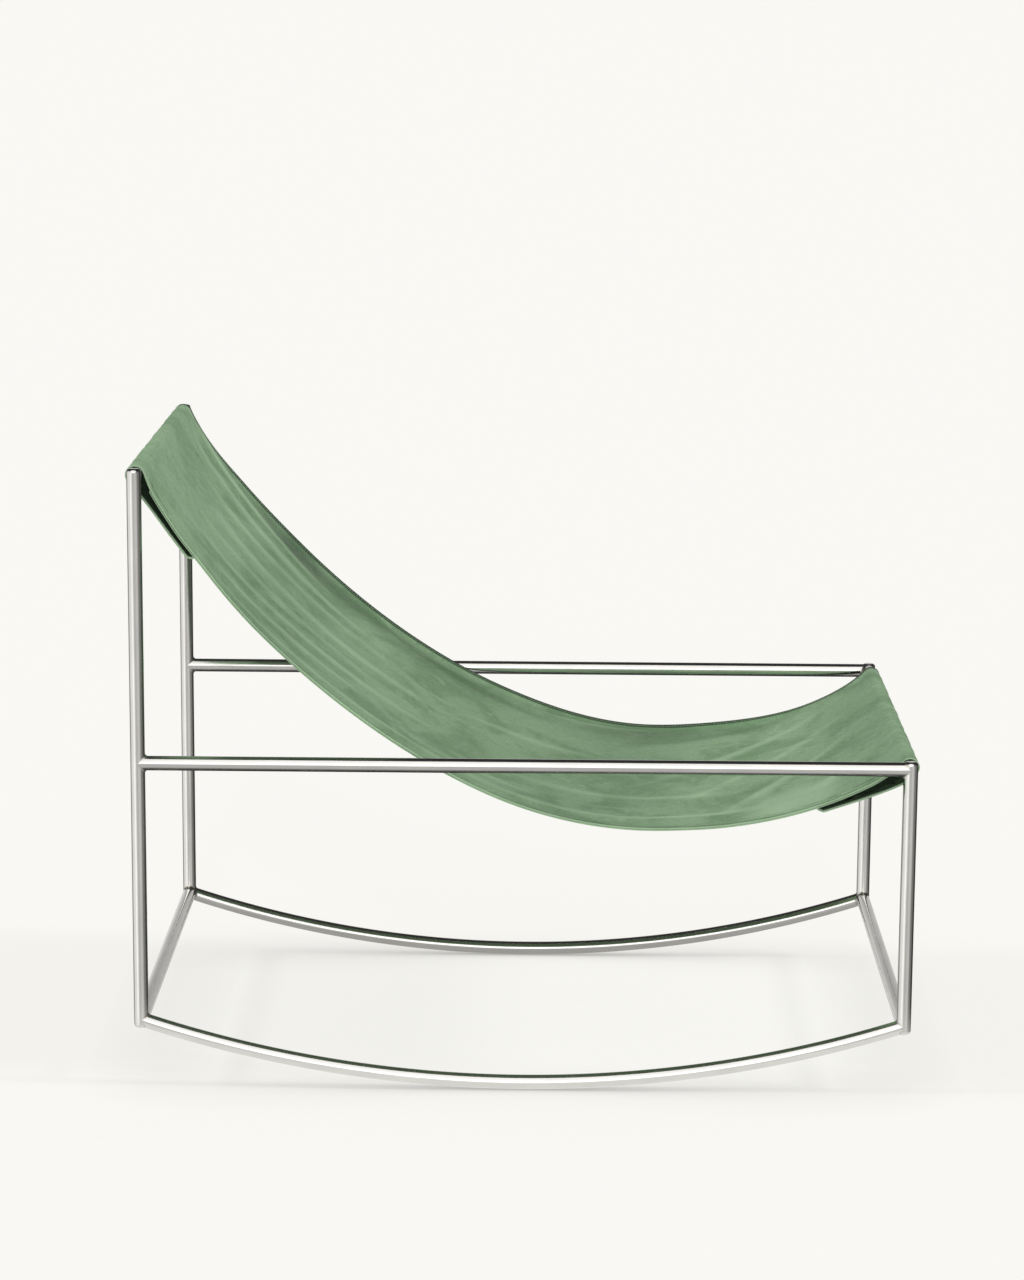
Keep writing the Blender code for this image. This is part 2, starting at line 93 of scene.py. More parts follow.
def linear(code):
    """An sRGB hex value as linear red, green and blue."""
    value = np.array([int(code[i:i + 2], 16) for i in (0, 2, 4)]) / 255
    return tuple(np.where(value <= 0.04045, value / 12.92, ((value + 0.055) / 1.055) ** 2.4))


def rgba(code, gain=1.0):
    return (*(gain * c for c in linear(code)), 1.0)


def add(tree, kind, inputs=None, **settings):
    """Adds one node. inputs maps a socket's name or number to a value, or to the socket that feeds it."""
    node = tree.nodes.new(kind)
    for name, value in settings.items():
        setattr(node, name, value)
    for name, value in (inputs or {}).items():
        if isinstance(value, bpy.types.NodeSocket):
            tree.links.new(value, node.inputs[name])
        else:
            node.inputs[name].default_value = value
    return node


def make_camera():
    data = bpy.data.cameras.new("camera")
    data.lens, data.sensor_width, data.sensor_fit = LENS_MM, SENSOR_MM, "AUTO"
    data.clip_end = FLOOR_SIDE
    camera = bpy.data.objects.new("camera", data)
    turns = ((CAMERA_TURNED, "Z"), (90 - CAMERA_LOWERED, "X"), (CAMERA_ROLLED, "Z"))
    placed = Matrix.Translation(CAMERA_PLACE)
    for degrees, axis in turns:
        placed = placed @ Matrix.Rotation(math.radians(degrees), 4, axis)
    camera.matrix_world = placed
    bpy.context.scene.collection.objects.link(camera)
    bpy.context.scene.camera = camera


# What the steel mirrors. For each soft light: the direction of its middle, its half angle and the
# width of its soft rim in degrees, and its brightness.
STUDIO = (
    ((0.00, -0.79, 0.61), 39, 9, 1.30),      # large softbox, in front and above
    ((0.00, -0.94, -0.34), 45, 42, 0.56),    # floor in front
    ((-0.93, -0.33, -0.17), 38, 36, 0.98),   # white card at the left
    ((0.80, -0.50, -0.20), 30, 50, 0.20),    # grey card at the right
    ((0.00, 0.98, -0.04), 22, 14, 0.62),     # foot of the back wall
    ((-0.60, 0.75, -0.15), 22, 30, 0.25),    # its left corner
)
STUDIO_BASE = 0.035
AMBIENT = 0.36              # even light on everything that doesn't mirror

# Soft suns: the direction each comes from, its strength, its angle in degrees and whether it casts shadows.
SUNS = (
    ("front_fill", (0.05, -0.86, 0.50), 1.35, 30, False),
    ("front_key", (0.02, -0.86, 0.50), 0.30, 5, True),
    ("left_key", (-0.80, -0.04, 0.60), 1.25, 9, True),
    ("right_key", (0.80, -0.10, 0.60), 1.35, 9, True),
)


def make_world():
    """Soft lights painted by direction for what the steel mirrors, an even light for the rest, and a
    plain pale backdrop where the camera looks."""
    world = bpy.data.worlds.new("studio")
    world.use_nodes = True
    tree = world.node_tree
    tree.nodes.clear()
    way = add(tree, "ShaderNodeTexCoord").outputs["Generated"]
    total = add(tree, "ShaderNodeValue").outputs[0]
    total.default_value = STUDIO_BASE
    for middle_way, half_angle, rim, gain in STUDIO:
        unit_way = np.array(middle_way) / np.linalg.norm(middle_way)
        facing = add(tree, "ShaderNodeVectorMath", {0: way, 1: tuple(unit_way)}, operation="DOT_PRODUCT")
        lobe = add(tree, "ShaderNodeMapRange", {
            "Value": facing.outputs["Value"],
            "From Min": math.cos(math.radians(half_angle + rim / 2)),
            "From Max": math.cos(math.radians(max(half_angle - rim / 2, 0))),
            "To Min": 0.0, "To Max": gain}, interpolation_type="SMOOTHSTEP")
        total = add(tree, "ShaderNodeMath", {0: total, 1: lobe.outputs["Result"]}, operation="ADD").outputs[0]
    path = add(tree, "ShaderNodeLightPath")
    mirrored = add(tree, "ShaderNodeBackground", {"Color": rgba("FFFEFB"), "Strength": total})
    even = add(tree, "ShaderNodeBackground", {"Color": rgba("FFFEFB"), "Strength": AMBIENT})
    plain = add(tree, "ShaderNodeBackground", {"Color": rgba(BACKDROP), "Strength": 1.0})
    light = add(tree, "ShaderNodeMixShader", {0: path.outputs["Is Glossy Ray"], 1: even.outputs[0],
                                              2: mirrored.outputs[0]})
    mix = add(tree, "ShaderNodeMixShader", {0: path.outputs["Is Camera Ray"], 1: light.outputs[0],
                                            2: plain.outputs[0]})
    add(tree, "ShaderNodeOutputWorld", {"Surface": mix.outputs[0]})
    bpy.context.scene.world = world


def make_suns():
    for name, way, strength, angle, shadow in SUNS:
        data = bpy.data.lights.new(name, "SUN")
        data.energy, data.angle, data.use_shadow = strength, math.radians(angle), shadow
        sun = bpy.data.objects.new(name, data)
        sun.rotation_euler = Vector(way).to_track_quat("Z", "Y").to_euler()
        sun.visible_glossy = False
        bpy.context.scene.collection.objects.link(sun)


FLOOR_GLOW = 0.795          # share of the floor's brightness that needs no light on it
FLOOR_LIT = 0.195           # how much of the light on it the floor sends back
FLOOR_MIRRORED = 1.02, 0.50  # its brightness in the right-hand rocker and in the left-hand one
FLOOR_NEAR = (0.06, 0.42)   # metres: the steel mirrors the floor this close, and the studio past it
CONTACT_REACH = 0.11        # metres: the soft shade under the rockers comes from steel this close
CONTACT_DARK = 0.60         # share of the glow that it can take away


def make_floor():
    """A pale sweep, partly self-lit, so that the shadows on it stay faint, and shaded where steel is
    close above it. Tubes close to it mirror the floor itself, and the rest mirror the soft lights."""
    material = bpy.data.materials.new("pale_studio_floor")
    material.use_nodes = True
    tree = material.node_tree
    tree.nodes.clear()
    path = add(tree, "ShaderNodeLightPath")
    open_above = add(tree, "ShaderNodeAmbientOcclusion", {"Distance": CONTACT_REACH}, samples=8)
    glowing = add(tree, "ShaderNodeMapRange", {
        "Value": open_above.outputs["AO"], "From Min": 0.0, "From Max": 1.0,
        "To Min": FLOOR_GLOW * (1 - CONTACT_DARK), "To Max": FLOOR_GLOW})
    glow = add(tree, "ShaderNodeEmission", {"Color": rgba(BACKDROP), "Strength": glowing.outputs["Result"]})
    lit = add(tree, "ShaderNodeBsdfDiffuse", {"Color": rgba(BACKDROP, FLOOR_LIT)})
    seen = add(tree, "ShaderNodeAddShader", {0: glow.outputs[0], 1: lit.outputs[0]})
    place = add(tree, "ShaderNodeSeparateXYZ", {0: add(tree, "ShaderNodeTexCoord").outputs["Object"]})
    fading = add(tree, "ShaderNodeMapRange", {
        "Value": place.outputs["Y"], "From Min": -HALF_W + 0.02, "From Max": HALF_W - 0.10,
        "To Min": FLOOR_MIRRORED[0], "To Max": FLOOR_MIRRORED[1]})
    mirrored = add(tree, "ShaderNodeEmission", {"Color": rgba(BACKDROP),
                                                "Strength": fading.outputs["Result"]})
    both = add(tree, "ShaderNodeMixShader", {0: path.outputs["Is Glossy Ray"], 1: seen.outputs[0],
                                             2: mirrored.outputs[0]})
    clear = add(tree, "ShaderNodeBsdfTransparent")
    far = add(tree, "ShaderNodeMapRange", {"Value": path.outputs["Ray Length"], "From Min": FLOOR_NEAR[0],
                                           "From Max": FLOOR_NEAR[1]}, interpolation_type="SMOOTHSTEP")
    away = add(tree, "ShaderNodeMath", {0: far.outputs["Result"], 1: path.outputs["Is Glossy Ray"]},
               operation="MULTIPLY")
    mix = add(tree, "ShaderNodeMixShader", {0: away.outputs[0], 1: both.outputs[0], 2: clear.outputs[0]})
    add(tree, "ShaderNodeOutputMaterial", {"Surface": mix.outputs[0]})
    half = FLOOR_SIDE / 2
    mesh = bpy.data.meshes.new("studio_floor")
    corners = [(x * half, y * half, 0) for x, y in ((-1, -1), (1, -1), (1, 1), (-1, 1))]
    mesh.from_pydata(corners, [], [(0, 1, 2, 3)])
    mesh.materials.append(material)
    floor = bpy.data.objects.new("studio_floor", mesh)
    bpy.context.scene.collection.objects.link(floor)


# ---------------------------------------------------------------- meshes from grids of points

def unit(vectors):
    return vectors / np.linalg.norm(vectors, axis=-1, keepdims=True)


def smooth_step(low, high, value):
    t = np.clip((value - low) / (high - low), 0, 1)
    return t * t * (3 - 2 * t)


def grid_quads(rows, columns, ring_rows=False, ring_columns=True):
    """Corner rows and columns of each quad, not yet wrapped round where the grid closes on itself."""
    i, j = np.meshgrid(np.arange(rows if ring_rows else rows - 1),
                       np.arange(columns if ring_columns else columns - 1), indexing="ij")
    i, j = i.reshape(-1, 1), j.reshape(-1, 1)
    return i + np.array([[0, 0, 1, 1]]), j + np.array([[0, 1, 1, 0]])


def make_piece(name, points, faces, material, uv=None, attributes=None, sharp=None):
    """A mesh object at the origin. uv holds a pair for each face corner, and attributes a value for
    each point."""
    mesh = bpy.data.meshes.new(name)
    mesh.from_pydata(np.asarray(points).tolist(), [], [tuple(face) for face in faces])
    if uv is not None:
        mesh.uv_layers.new(name="UVMap").data.foreach_set("uv", np.asarray(uv, np.float32).ravel())
    for key, values in (attributes or {}).items():
        layer = mesh.attributes.new(key, "FLOAT", "POINT")
        layer.data.foreach_set("value", np.asarray(values, np.float32).ravel())
    mesh.materials.append(material)
    mesh.shade_smooth()
    if sharp:
        mesh.set_sharp_from_angle(angle=math.radians(sharp))
    obj = bpy.data.objects.new(name, mesh)
    bpy.context.scene.collection.objects.link(obj)
    return obj


def skin_of_rings(name, rings, along, around, material, ends=True, ring_rows=False, sharp=40, heat=None):
    """Joins rings of points into a closed skin. along and around are the rings' and the points' places
    in metres, for the UV map; each end is closed by a fan to its middle."""
    rows, columns = rings.shape[:2]
    i, j = grid_quads(rows, columns, ring_rows)
    faces = ((i % rows) * columns + j % columns).tolist()
    uv = np.stack((around[j], along[i]), axis=-1).reshape(-1, 2)
    points = rings.reshape(-1, 3)
    if ends:
        hubs = rings[[0, -1]].mean(axis=1)
        points = np.vstack((points, hubs))
        k = np.arange(columns)
        start = np.stack((k, np.full(columns, rows * columns), (k + 1) % columns), axis=1)
        stop = (rows - 1) * columns + np.stack(((k + 1) % columns, np.full(columns, columns + 1), k), axis=1)
        faces += start.tolist() + stop.tolist()
        for row in (0, -1):
            fan = np.stack((around[k], around[k], around[k + 1]), axis=1)
            uv = np.vstack((uv, np.stack((fan, np.full_like(fan, along[row])), axis=-1).reshape(-1, 2)))
    marks = {}
    if heat is not None:
        marks["heat"] = np.concatenate((np.repeat(heat, columns), heat[[0, -1]]))
    return make_piece(name, points, faces, material, uv=uv, attributes=marks, sharp=sharp)


def finish_piece(obj, slot, *nodes):
    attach(obj, "root")
    if nodes:
        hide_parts(*nodes)


# ---------------------------------------------------------------- steel tube

TUBE_SIDES = 56
TURN = np.arange(TUBE_SIDES) * 2 * math.pi / TUBE_SIDES
AROUND = np.arange(TUBE_SIDES + 1) * 2 * math.pi / TUBE_SIDES * TUBE_R
CAP_ROUND = 0.0045          # ground edge of a post's end
SUNK = 0.0004               # how far a coped end stands inside the post that it meets
EVEN_FROM, TUBE_STEP = 0.06, 0.012
HEAT_REACH = 0.011          # how far from a weld's middle its tint has faded to a third
POST_HEAT_REACH = 0.008     # the same on the post, from the edge of the tube that meets it
CAP_HEAT = 0.8


def ring(centre, first, second, radius=TUBE_R):
    """A circle round each centre, in the plane of first and second."""
    centre, first, second = (np.atleast_2d(v)[:, None, :] for v in (centre, first, second))
    return centre + radius * (np.cos(TURN)[None, :, None] * first + np.sin(TURN)[None, :, None] * second)


def stations(length):
    """Places along a tube: its coped ends, a few close to each weld, then even steps."""
    near = np.array((0.0, 0.015, 0.019, 0.025, 0.034, 0.046))
    steps = max(int((length - 2 * EVEN_FROM) / TUBE_STEP), 2)
    return np.concatenate((near, np.linspace(EVEN_FROM, length - EVEN_FROM, steps), length - near[::-1]))


def heat_near_ends(along):
    """One at the welds, fading within a few centimetres."""
    return np.exp(-np.minimum(along, along[-1] - along) / HEAT_REACH)


def cope(points, way, post, lateral):
    """Slides the ring's points along way until they lie on the post, a standing cylinder of the same
    radius: as far from its axis as the root of the squared radius less the squared sideways offset."""
    forward = 0 if lateral == 1 else 1
    sideways = points[:, lateral] - post[lateral]
    out = np.sqrt(np.clip(TUBE_R**2 - sideways**2, 0, None)) - SUNK
    target = post[forward] + np.sign(way[forward]) * out
    return points + ((target - points[:, forward]) / way[forward])[:, None] * way


def make_tube(name, path, first, second, material, posts, lateral):
    """A round skin carried along the path, with both ends coped to the posts."""
    rings = ring(path, first, second)
    rings[0] = cope(rings[0], unit(path[1] - path[0]), posts[0], lateral)
    rings[-1] = cope(rings[-1], unit(path[-2] - path[-1]), posts[1], lateral)
    along = np.concatenate(([0], np.cumsum(np.linalg.norm(np.diff(path, axis=0), axis=1))))
    piece = skin_of_rings(name + "_tube", rings, along, AROUND, material, heat=heat_near_ends(along))
    finish_piece(piece, "frame_steel", name)


def make_post(name, end, side, material):
    top = (REAR_TOP if end == REAR else FRONT_TOP) - CAP_ROUND
    joined = np.array([CORNER_Z, ARM_Z] + ([BACK_Z] if end == REAR else []))
    z = np.unique(np.concatenate((np.linspace(FOOT + CAP_ROUND, top, 60),
                                  (joined[:, None] + (-0.03, -0.02, -0.012, 0, 0.012, 0.02, 0.03)).ravel())))
    z = z[(z >= FOOT + CAP_ROUND) & (z <= top)]
    path = np.stack((np.full_like(z, end * HALF_L), np.full_like(z, side * HALF_W), z), axis=1)
    heat = np.exp(-np.clip(np.abs(z[:, None] - joined).min(axis=1) - TUBE_R, 0, 1) / POST_HEAT_REACH)
    rings = ring(path, (1, 0, 0), (0, 1, 0))
    piece = skin_of_rings(name + "_tube", rings, z, AROUND, material, heat=heat)
    finish_piece(piece, "frame_steel", name)


def make_cap(name, end, side, up, material):
    """The post's ground end: a quarter circle turned round the post's axis, then a level crown."""
    tip = FOOT if up < 0 else REAR_TOP if end == REAR else FRONT_TOP
    turn = np.linspace(0, math.pi / 2, 9)
    crown = TUBE_R - CAP_ROUND
    radius = np.append(crown + CAP_ROUND * np.cos(turn), (0.66 * crown, 0.33 * crown))
    height = np.append(CAP_ROUND * np.sin(turn), (CAP_ROUND, CAP_ROUND))
    z = tip - up * CAP_ROUND + up * height
    rings = np.stack([ring((end * HALF_L, side * HALF_W, z_k), (1, 0, 0), (0, up, 0), r_k)[0]
                      for z_k, r_k in zip(z, radius)])
    piece = skin_of_rings(name + "_dome", rings, z, AROUND, material, heat=np.full(len(z), CAP_HEAT))
    finish_piece(piece, "frame_steel", name)


def post_at(end, side):
    return np.array((end * HALF_L, side * HALF_W, 0.0))


def make_frame(material):
    across, level, upright = np.array((0, 1.0, 0)), np.array((1.0, 0, 0)), np.array((0, 0, 1.0))
    for side_name, side in SIDES.items():
        for end_name, end in ENDS.items():
            make_post(f"{end_name}_post_{side_name}", end, side, material)
            make_cap(f"{end_name}_post_top_cap_{side_name}", end, side, 1, material)
            make_cap(f"{end_name}_post_foot_cap_{side_name}", end, side, -1, material)
        posts = post_at(REAR, side), post_at(FRONT, side)
        path = (-HALF_L, side * HALF_W, ARM_Z) + stations(2 * HALF_L)[:, None] * level
        make_tube(f"arm_rail_{side_name}", path, upright, -across, material, posts, 1)
        turn = stations(2 * ROCKER_ANGLE * ROCKER_R) / ROCKER_R - ROCKER_ANGLE
        out = np.stack((np.sin(turn), 0 * turn, -np.cos(turn)), axis=1)
        hub = np.array((0, side * HALF_W, TUBE_R + ROCKER_R))
        make_tube(f"rocker_{side_name}", hub + ROCKER_R * out, -out, -across, material, posts, 1)
    bars = (("rear_sling_bar", REAR, BACK_Z), ("front_sling_bar", FRONT, ARM_Z),
            ("rear_stretcher", REAR, CORNER_Z), ("front_stretcher", FRONT, CORNER_Z))
    for name, end, z in bars:
        path = (end * HALF_L, -HALF_W, z) + stations(2 * HALF_W)[:, None] * across
        make_tube(name, path, upright, level, material, (post_at(end, -1), post_at(end, 1)), 0)


# ---------------------------------------------------------------- welds

WELD_ROUND = 0.0034         # radius of the fillet
WELD_RIPPLE = 0.10          # share by which it varies round the tube
WELD_TURNS = 96
WELD_ACROSS = 9
WELD_BLEND = 0.0012         # softens the corner where a weld meets two tubes
WELD_DEEP = 0.0012          # how far its hidden back stands inside the tubes
WELD_REACH = 4 * TUBE_R     # how far from the corner the ball is looked for
WELD_GIRTH = 0.012          # round a bead's section, for the UV map
HALVINGS = 24               # of the gap between two tries, until the ball touches
SLOPE_STEP = 1e-5


def post_distance(points, end, side):
    """Distance from a standing cylinder with rounded ends."""
    top = REAR_TOP if end == REAR else FRONT_TOP
    middle_z, half = (top + FOOT) / 2, (top - FOOT) / 2
    flat = np.hypot(points[..., 0] - end * HALF_L, points[..., 1] - side * HALF_W) - (TUBE_R - CAP_ROUND)
    tall = np.abs(points[..., 2] - middle_z) - (half - CAP_ROUND)
    outside = np.hypot(np.maximum(flat, 0), np.maximum(tall, 0))
    return outside + np.minimum(np.maximum(flat, tall), 0) - CAP_ROUND


def tube_distance(points, corner, way):
    """Distance from a round tube that leaves the corner along way."""
    offset = points - corner
    along = np.maximum(offset @ way, 0)
    return np.linalg.norm(offset - along[..., None] * way, axis=-1) - TUBE_R


def make_weld(name, corner, way, across, end, side, neighbour, material):
    """A ball's track: the ball rolls round the tube, touching it and the post. For each place round
    the tube its centre lies one tube and one ball radius from the tube's axis, and is pushed in
    towards the post until it touches. The weld's face is the ball's arc between the two contacts."""
    upright = unit(np.cross(way, across))
    turn = np.arange(WELD_TURNS) * 2 * math.pi / WELD_TURNS
    out = np.cos(turn)[:, None] * upright + np.sin(turn)[:, None] * across
    ball = WELD_ROUND * (1 + WELD_RIPPLE * (0.6 * np.sin(3 * turn + corner[0] * 40) + 0.4 * np.sin(7 * turn)))

    def gap(centres):
        near = post_distance(centres, end, side)
        if neighbour is None:
            return near
        other = tube_distance(centres, corner, neighbour)
        share = np.clip(0.5 + 0.5 * (other - near) / WELD_BLEND, 0, 1)
        return other + (near - other) * share - WELD_BLEND * share * (1 - share)

    def centre_at(reach):
        return corner + reach[:, None] * way + ((TUBE_R + ball)[:, None]) * out

    reaches = np.linspace(0, WELD_REACH, 161)
    touching = np.stack([gap(centre_at(np.full(WELD_TURNS, r))) < ball for r in reaches])
    last = np.where(touching.any(axis=0), len(reaches) - 1 - np.argmax(touching[::-1], axis=0), 0)
    low, high = reaches[last], reaches[np.minimum(last + 1, len(reaches) - 1)]
    for _ in range(HALVINGS):
        half_way = (low + high) / 2
        inside = gap(centre_at(half_way)) < ball
        low, high = np.where(inside, half_way, low), np.where(inside, high, half_way)
    centre = centre_at(high)
    slope = np.stack([gap(centre + SLOPE_STEP * axis) - gap(centre - SLOPE_STEP * axis)
                      for axis in np.eye(3)], axis=-1)
    to_tube, to_post = -out, -unit(slope)
    bend = np.arccos(np.clip((to_tube * to_post).sum(-1), -1, 1))
    t = np.linspace(0, 1, WELD_ACROSS)[None, :, None]
    safe = np.maximum(bend, 1e-4)[:, None, None]
    arc = (np.sin((1 - t) * safe) * to_tube[:, None] + np.sin(t * safe) * to_post[:, None]) / np.sin(safe)
    face = centre[:, None] + ball[:, None, None] * arc
    back = np.stack((face[:, -1] + WELD_DEEP * to_post, face[:, 0] + WELD_DEEP * to_tube), axis=1)
    loop = np.concatenate((face, back), axis=1)[:, ::-1]
    steps = np.linalg.norm(np.diff(loop, axis=1), axis=2).mean(axis=0)
    around = np.concatenate(([0], np.cumsum(steps), [WELD_GIRTH]))
    along = np.arange(WELD_TURNS + 1) * 2 * math.pi / WELD_TURNS * TUBE_R
    piece = skin_of_rings(name + "_bead", loop, along, around, material, ends=False, ring_rows=True, sharp=60)
    finish_piece(piece, "weld_steel", name)


def make_welds(material):
    """Sixteen joints. Each has the corner's height, the ways out of it and across it, and at a corner
    where two tubes meet the post, the way of the other one."""
    level, across = np.array((1.0, 0, 0)), np.array((0, 1.0, 0))
    for side_name, side in SIDES.items():
        inward = -side * across
        joints = []
        for end_name, end in ENDS.items():
            rocker_way = np.array((-end * math.cos(ROCKER_ANGLE), 0, -math.sin(ROCKER_ANGLE)))
            joints += [(f"rocker_{end_name}_weld", end, CORNER_Z, rocker_way, across, inward),
                       (f"{end_name}_stretcher_weld", end, CORNER_Z, inward, -end * level, None)]
        joints += [("arm_rear_weld", REAR, ARM_Z, level, across, None),
                   ("rear_bar_weld", REAR, BACK_Z, inward, level, None),
                   ("arm_front_weld", FRONT, ARM_Z, -level, across, inward),
                   ("front_bar_weld", FRONT, ARM_Z, inward, -level, None)]
        for name, end, height, way, sideways, neighbour in joints:
            corner = np.array((end * HALF_L, side * HALF_W, height))
            make_weld(f"{name}_{side_name}", corner, way, sideways, end, side, neighbour, material)


# ---------------------------------------------------------------- the hide's line from side view

LEATHER = 0.0022
WRAP_R = TUBE_R + 0.0003 + LEATHER / 2
REAR_BAR = np.array((-HALF_L, BACK_Z))
FRONT_BAR = np.array((HALF_L, ARM_Z))
REAR_LEAVE, FRONT_ARRIVE = math.radians(64.0), math.radians(45.5)
REAR_PULL, REAR_BELLY, FRONT_BELLY, FRONT_PULL = 0.168, 0.281, 0.073, 0.108
LOW_POINT = FRONT_BAR - np.array((0.302, 0.080))
FLAP_REACH, POCKET_GAP, LIP_RUN = 0.116, 0.0055, 0.006
REAR_FLAP = math.radians(50.0), 0.020, 0.060     # slope at the bar, handle there, handle at the sewn end
FRONT_FLAP = math.radians(75.0), 0.0165, 0.075


def bezier(a, b, c, d, steps=160):
    t = np.linspace(0, 1, steps + 1)[:, None]
    return (1 - t) ** 3 * a + 3 * (1 - t) ** 2 * t * b + 3 * (1 - t) * t**2 * c + t**3 * d


def heading(angle):
    return np.array((math.cos(angle), math.sin(angle)))


def run_along(line):
    return np.concatenate(([0], np.cumsum(np.linalg.norm(np.diff(line, axis=0), axis=1))))


def seat_normals(line):
    way = unit(np.gradient(line, axis=0))
    return np.stack((-way[:, 1], way[:, 0]), axis=1)


def panel_line():
    """Two cubics from bar to bar, level where they meet at the lowest point."""
    start = REAR_BAR + WRAP_R * np.array((math.sin(REAR_LEAVE), math.cos(REAR_LEAVE)))
    stop = FRONT_BAR + WRAP_R * np.array((-math.sin(FRONT_ARRIVE), math.cos(FRONT_ARRIVE)))
    fall = bezier(start, start + REAR_PULL * heading(-REAR_LEAVE), LOW_POINT - (REAR_BELLY, 0), LOW_POINT)
    rise = bezier(LOW_POINT, LOW_POINT + (FRONT_BELLY, 0), stop - FRONT_PULL * heading(FRONT_ARRIVE), stop)
    return np.vstack((fall, rise[1:]))


PANEL = panel_line()
PANEL_RUN = run_along(PANEL)
PANEL_LENGTH = PANEL_RUN[-1]
PANEL_NORMALS = seat_normals(PANEL)


def on_panel(run, lift=0.0):
    point = np.array([np.interp(run, PANEL_RUN, PANEL[:, k]) for k in (0, 1)])
    normal = unit(np.array([np.interp(run, PANEL_RUN, PANEL_NORMALS[:, k]) for k in (0, 1)]))
    return point + lift * normal, normal


def flap_line(bar, inward, shape, run):
    """From the bar along the back of the panel to the sewn end, which turns up to meet it."""
    leave, pull, ease = shape
    start = bar + WRAP_R * np.array((-inward * math.sin(leave), -math.cos(leave)))
    way = np.array((inward * math.cos(leave), -math.sin(leave)))
    sewn, normal = on_panel(run, -(LEATHER + POCKET_GAP))
    along = inward * np.array((normal[1], -normal[0]))
    body = bezier(start, start + pull * way, sewn - ease * along, sewn, 60)
    lip = sewn + along * LIP_RUN + normal * (POCKET_GAP - 0.0001)
    turn = sewn + along * LIP_RUN * 0.45 + normal * POCKET_GAP * 0.2
    rise = bezier(sewn, sewn + along * LIP_RUN * 0.3, turn, lip, 8)
    return np.vstack((body, rise[1:]))


def wrap_line(bar, start, stop, steps=40):
    """Round a bar from one place to another, turning clockwise, both ends left out."""
    a, b = (math.atan2(*(place - bar)[::-1]) for place in (start, stop))
    turn = np.linspace(a, b - 2 * math.pi if b > a else b, steps + 2)[1:-1]
    return bar + WRAP_R * np.stack((np.cos(turn), np.sin(turn)), axis=1)


REAR_SEWN, FRONT_SEWN = FLAP_REACH, PANEL_LENGTH - FLAP_REACH
rear_flap = flap_line(REAR_BAR, 1, REAR_FLAP, REAR_SEWN)
front_flap = flap_line(FRONT_BAR, -1, FRONT_FLAP, FRONT_SEWN)
rear_wrap = wrap_line(REAR_BAR, rear_flap[0], PANEL[0])
front_wrap = wrap_line(FRONT_BAR, PANEL[-1], front_flap[0])
HIDE = np.vstack((rear_flap[::-1], rear_wrap, PANEL, front_wrap, front_flap))
HIDE_RUN = run_along(HIDE)
HIDE_LENGTH = HIDE_RUN[-1]
PANEL_FROM = HIDE_RUN[len(rear_flap) + len(rear_wrap)]
PANEL_TO = PANEL_FROM + PANEL_LENGTH


# ---------------------------------------------------------------- how the hide hangs out of its line

# Lengths in metres. Share is a place along the panel, 0 at the rear bar and 1 at the front one.
TWIST = 0.0066              # the right-hand edge hangs lower and the left-hand one higher, over the back
TWIST_BACK = 0.0026         # and a little the other way close to the front bar
CUP = 0.0085                # the middle of the width hangs lower than the edges
NEAR_LIP = 0.0005           # the right-hand edge turns down, over its last millimetres
FAR_LIP, FAR_LIP_WIDTH = 0.0028, 0.020      # the left-hand edge stands up
VALLEY, VALLEY_INSET, VALLEY_WIDTH = 0.0012, 0.026, 0.010      # beside both edges
EDGE_SAG, EDGE_SAG_WIDTH = 0.0026, 0.07     # the right-hand edge sags next to the rear bar
HEM_GROOVE = 0.0058         # how far in the line beside the turned right-hand edge runs
GROOVE_DEPTH, GROOVE_WIDTH = 0.0004, 0.0011

# Creases: start and end as share of the panel's length and of half its width, width and height in mm,
# and how far the middle bows sideways in mm.
CREASES = (
    (0.02, -0.90, 0.42, -0.52, 13, 1.1, 12), (0.03, -0.96, 0.60, -0.80, 9, 1.0, 8),
    (0.02, -0.62, 0.50, -0.30, 15, 1.2, 14), (0.03, -0.30, 0.46, -0.12, 16, 0.9, 6),
    (0.04, 0.02, 0.52, 0.10, 18, 1.0, -8), (0.03, 0.34, 0.44, 0.36, 14, 0.9, -8),
    (0.02, 0.70, 0.40, 0.46, 13, 1.2, -10), (0.01, 0.93, 0.30, 0.66, 8, 1.5, -8),
    (0.008, 0.985, 0.25, 0.66, 5, 1.5, 0), (0.30, 0.90, 0.62, 0.74, 14, -1.3, 0),
    (0.36, -0.70, 0.74, -0.60, 10, 0.9, -10), (0.44, -0.86, 0.86, -0.72, 8, 0.9, -8),
    (0.50, -0.42, 0.82, -0.34, 14, 0.8, -8), (0.40, 0.24, 0.70, 0.30, 16, 0.9, 8),
    (0.66, -0.30, 0.985, 0.92, 12, 1.0, 16), (0.72, -0.62, 0.985, 0.62, 11, 0.9, 16),
    (0.78, -0.82, 0.985, 0.22, 10, 0.9, 14), (0.84, -0.92, 0.985, -0.36, 9, 0.8, 8),
    (0.62, 0.60, 0.95, 0.96, 12, -0.9, -6), (0.56, 0.86, 0.74, 0.93, 7, 1.1, 0),
    (0.60, -0.10, 0.80, 0.34, 14, 0.7, 0), (0.08, -0.80, 0.34, -0.70, 7, -0.8, 4),
)
SMALL_CREASES = 90


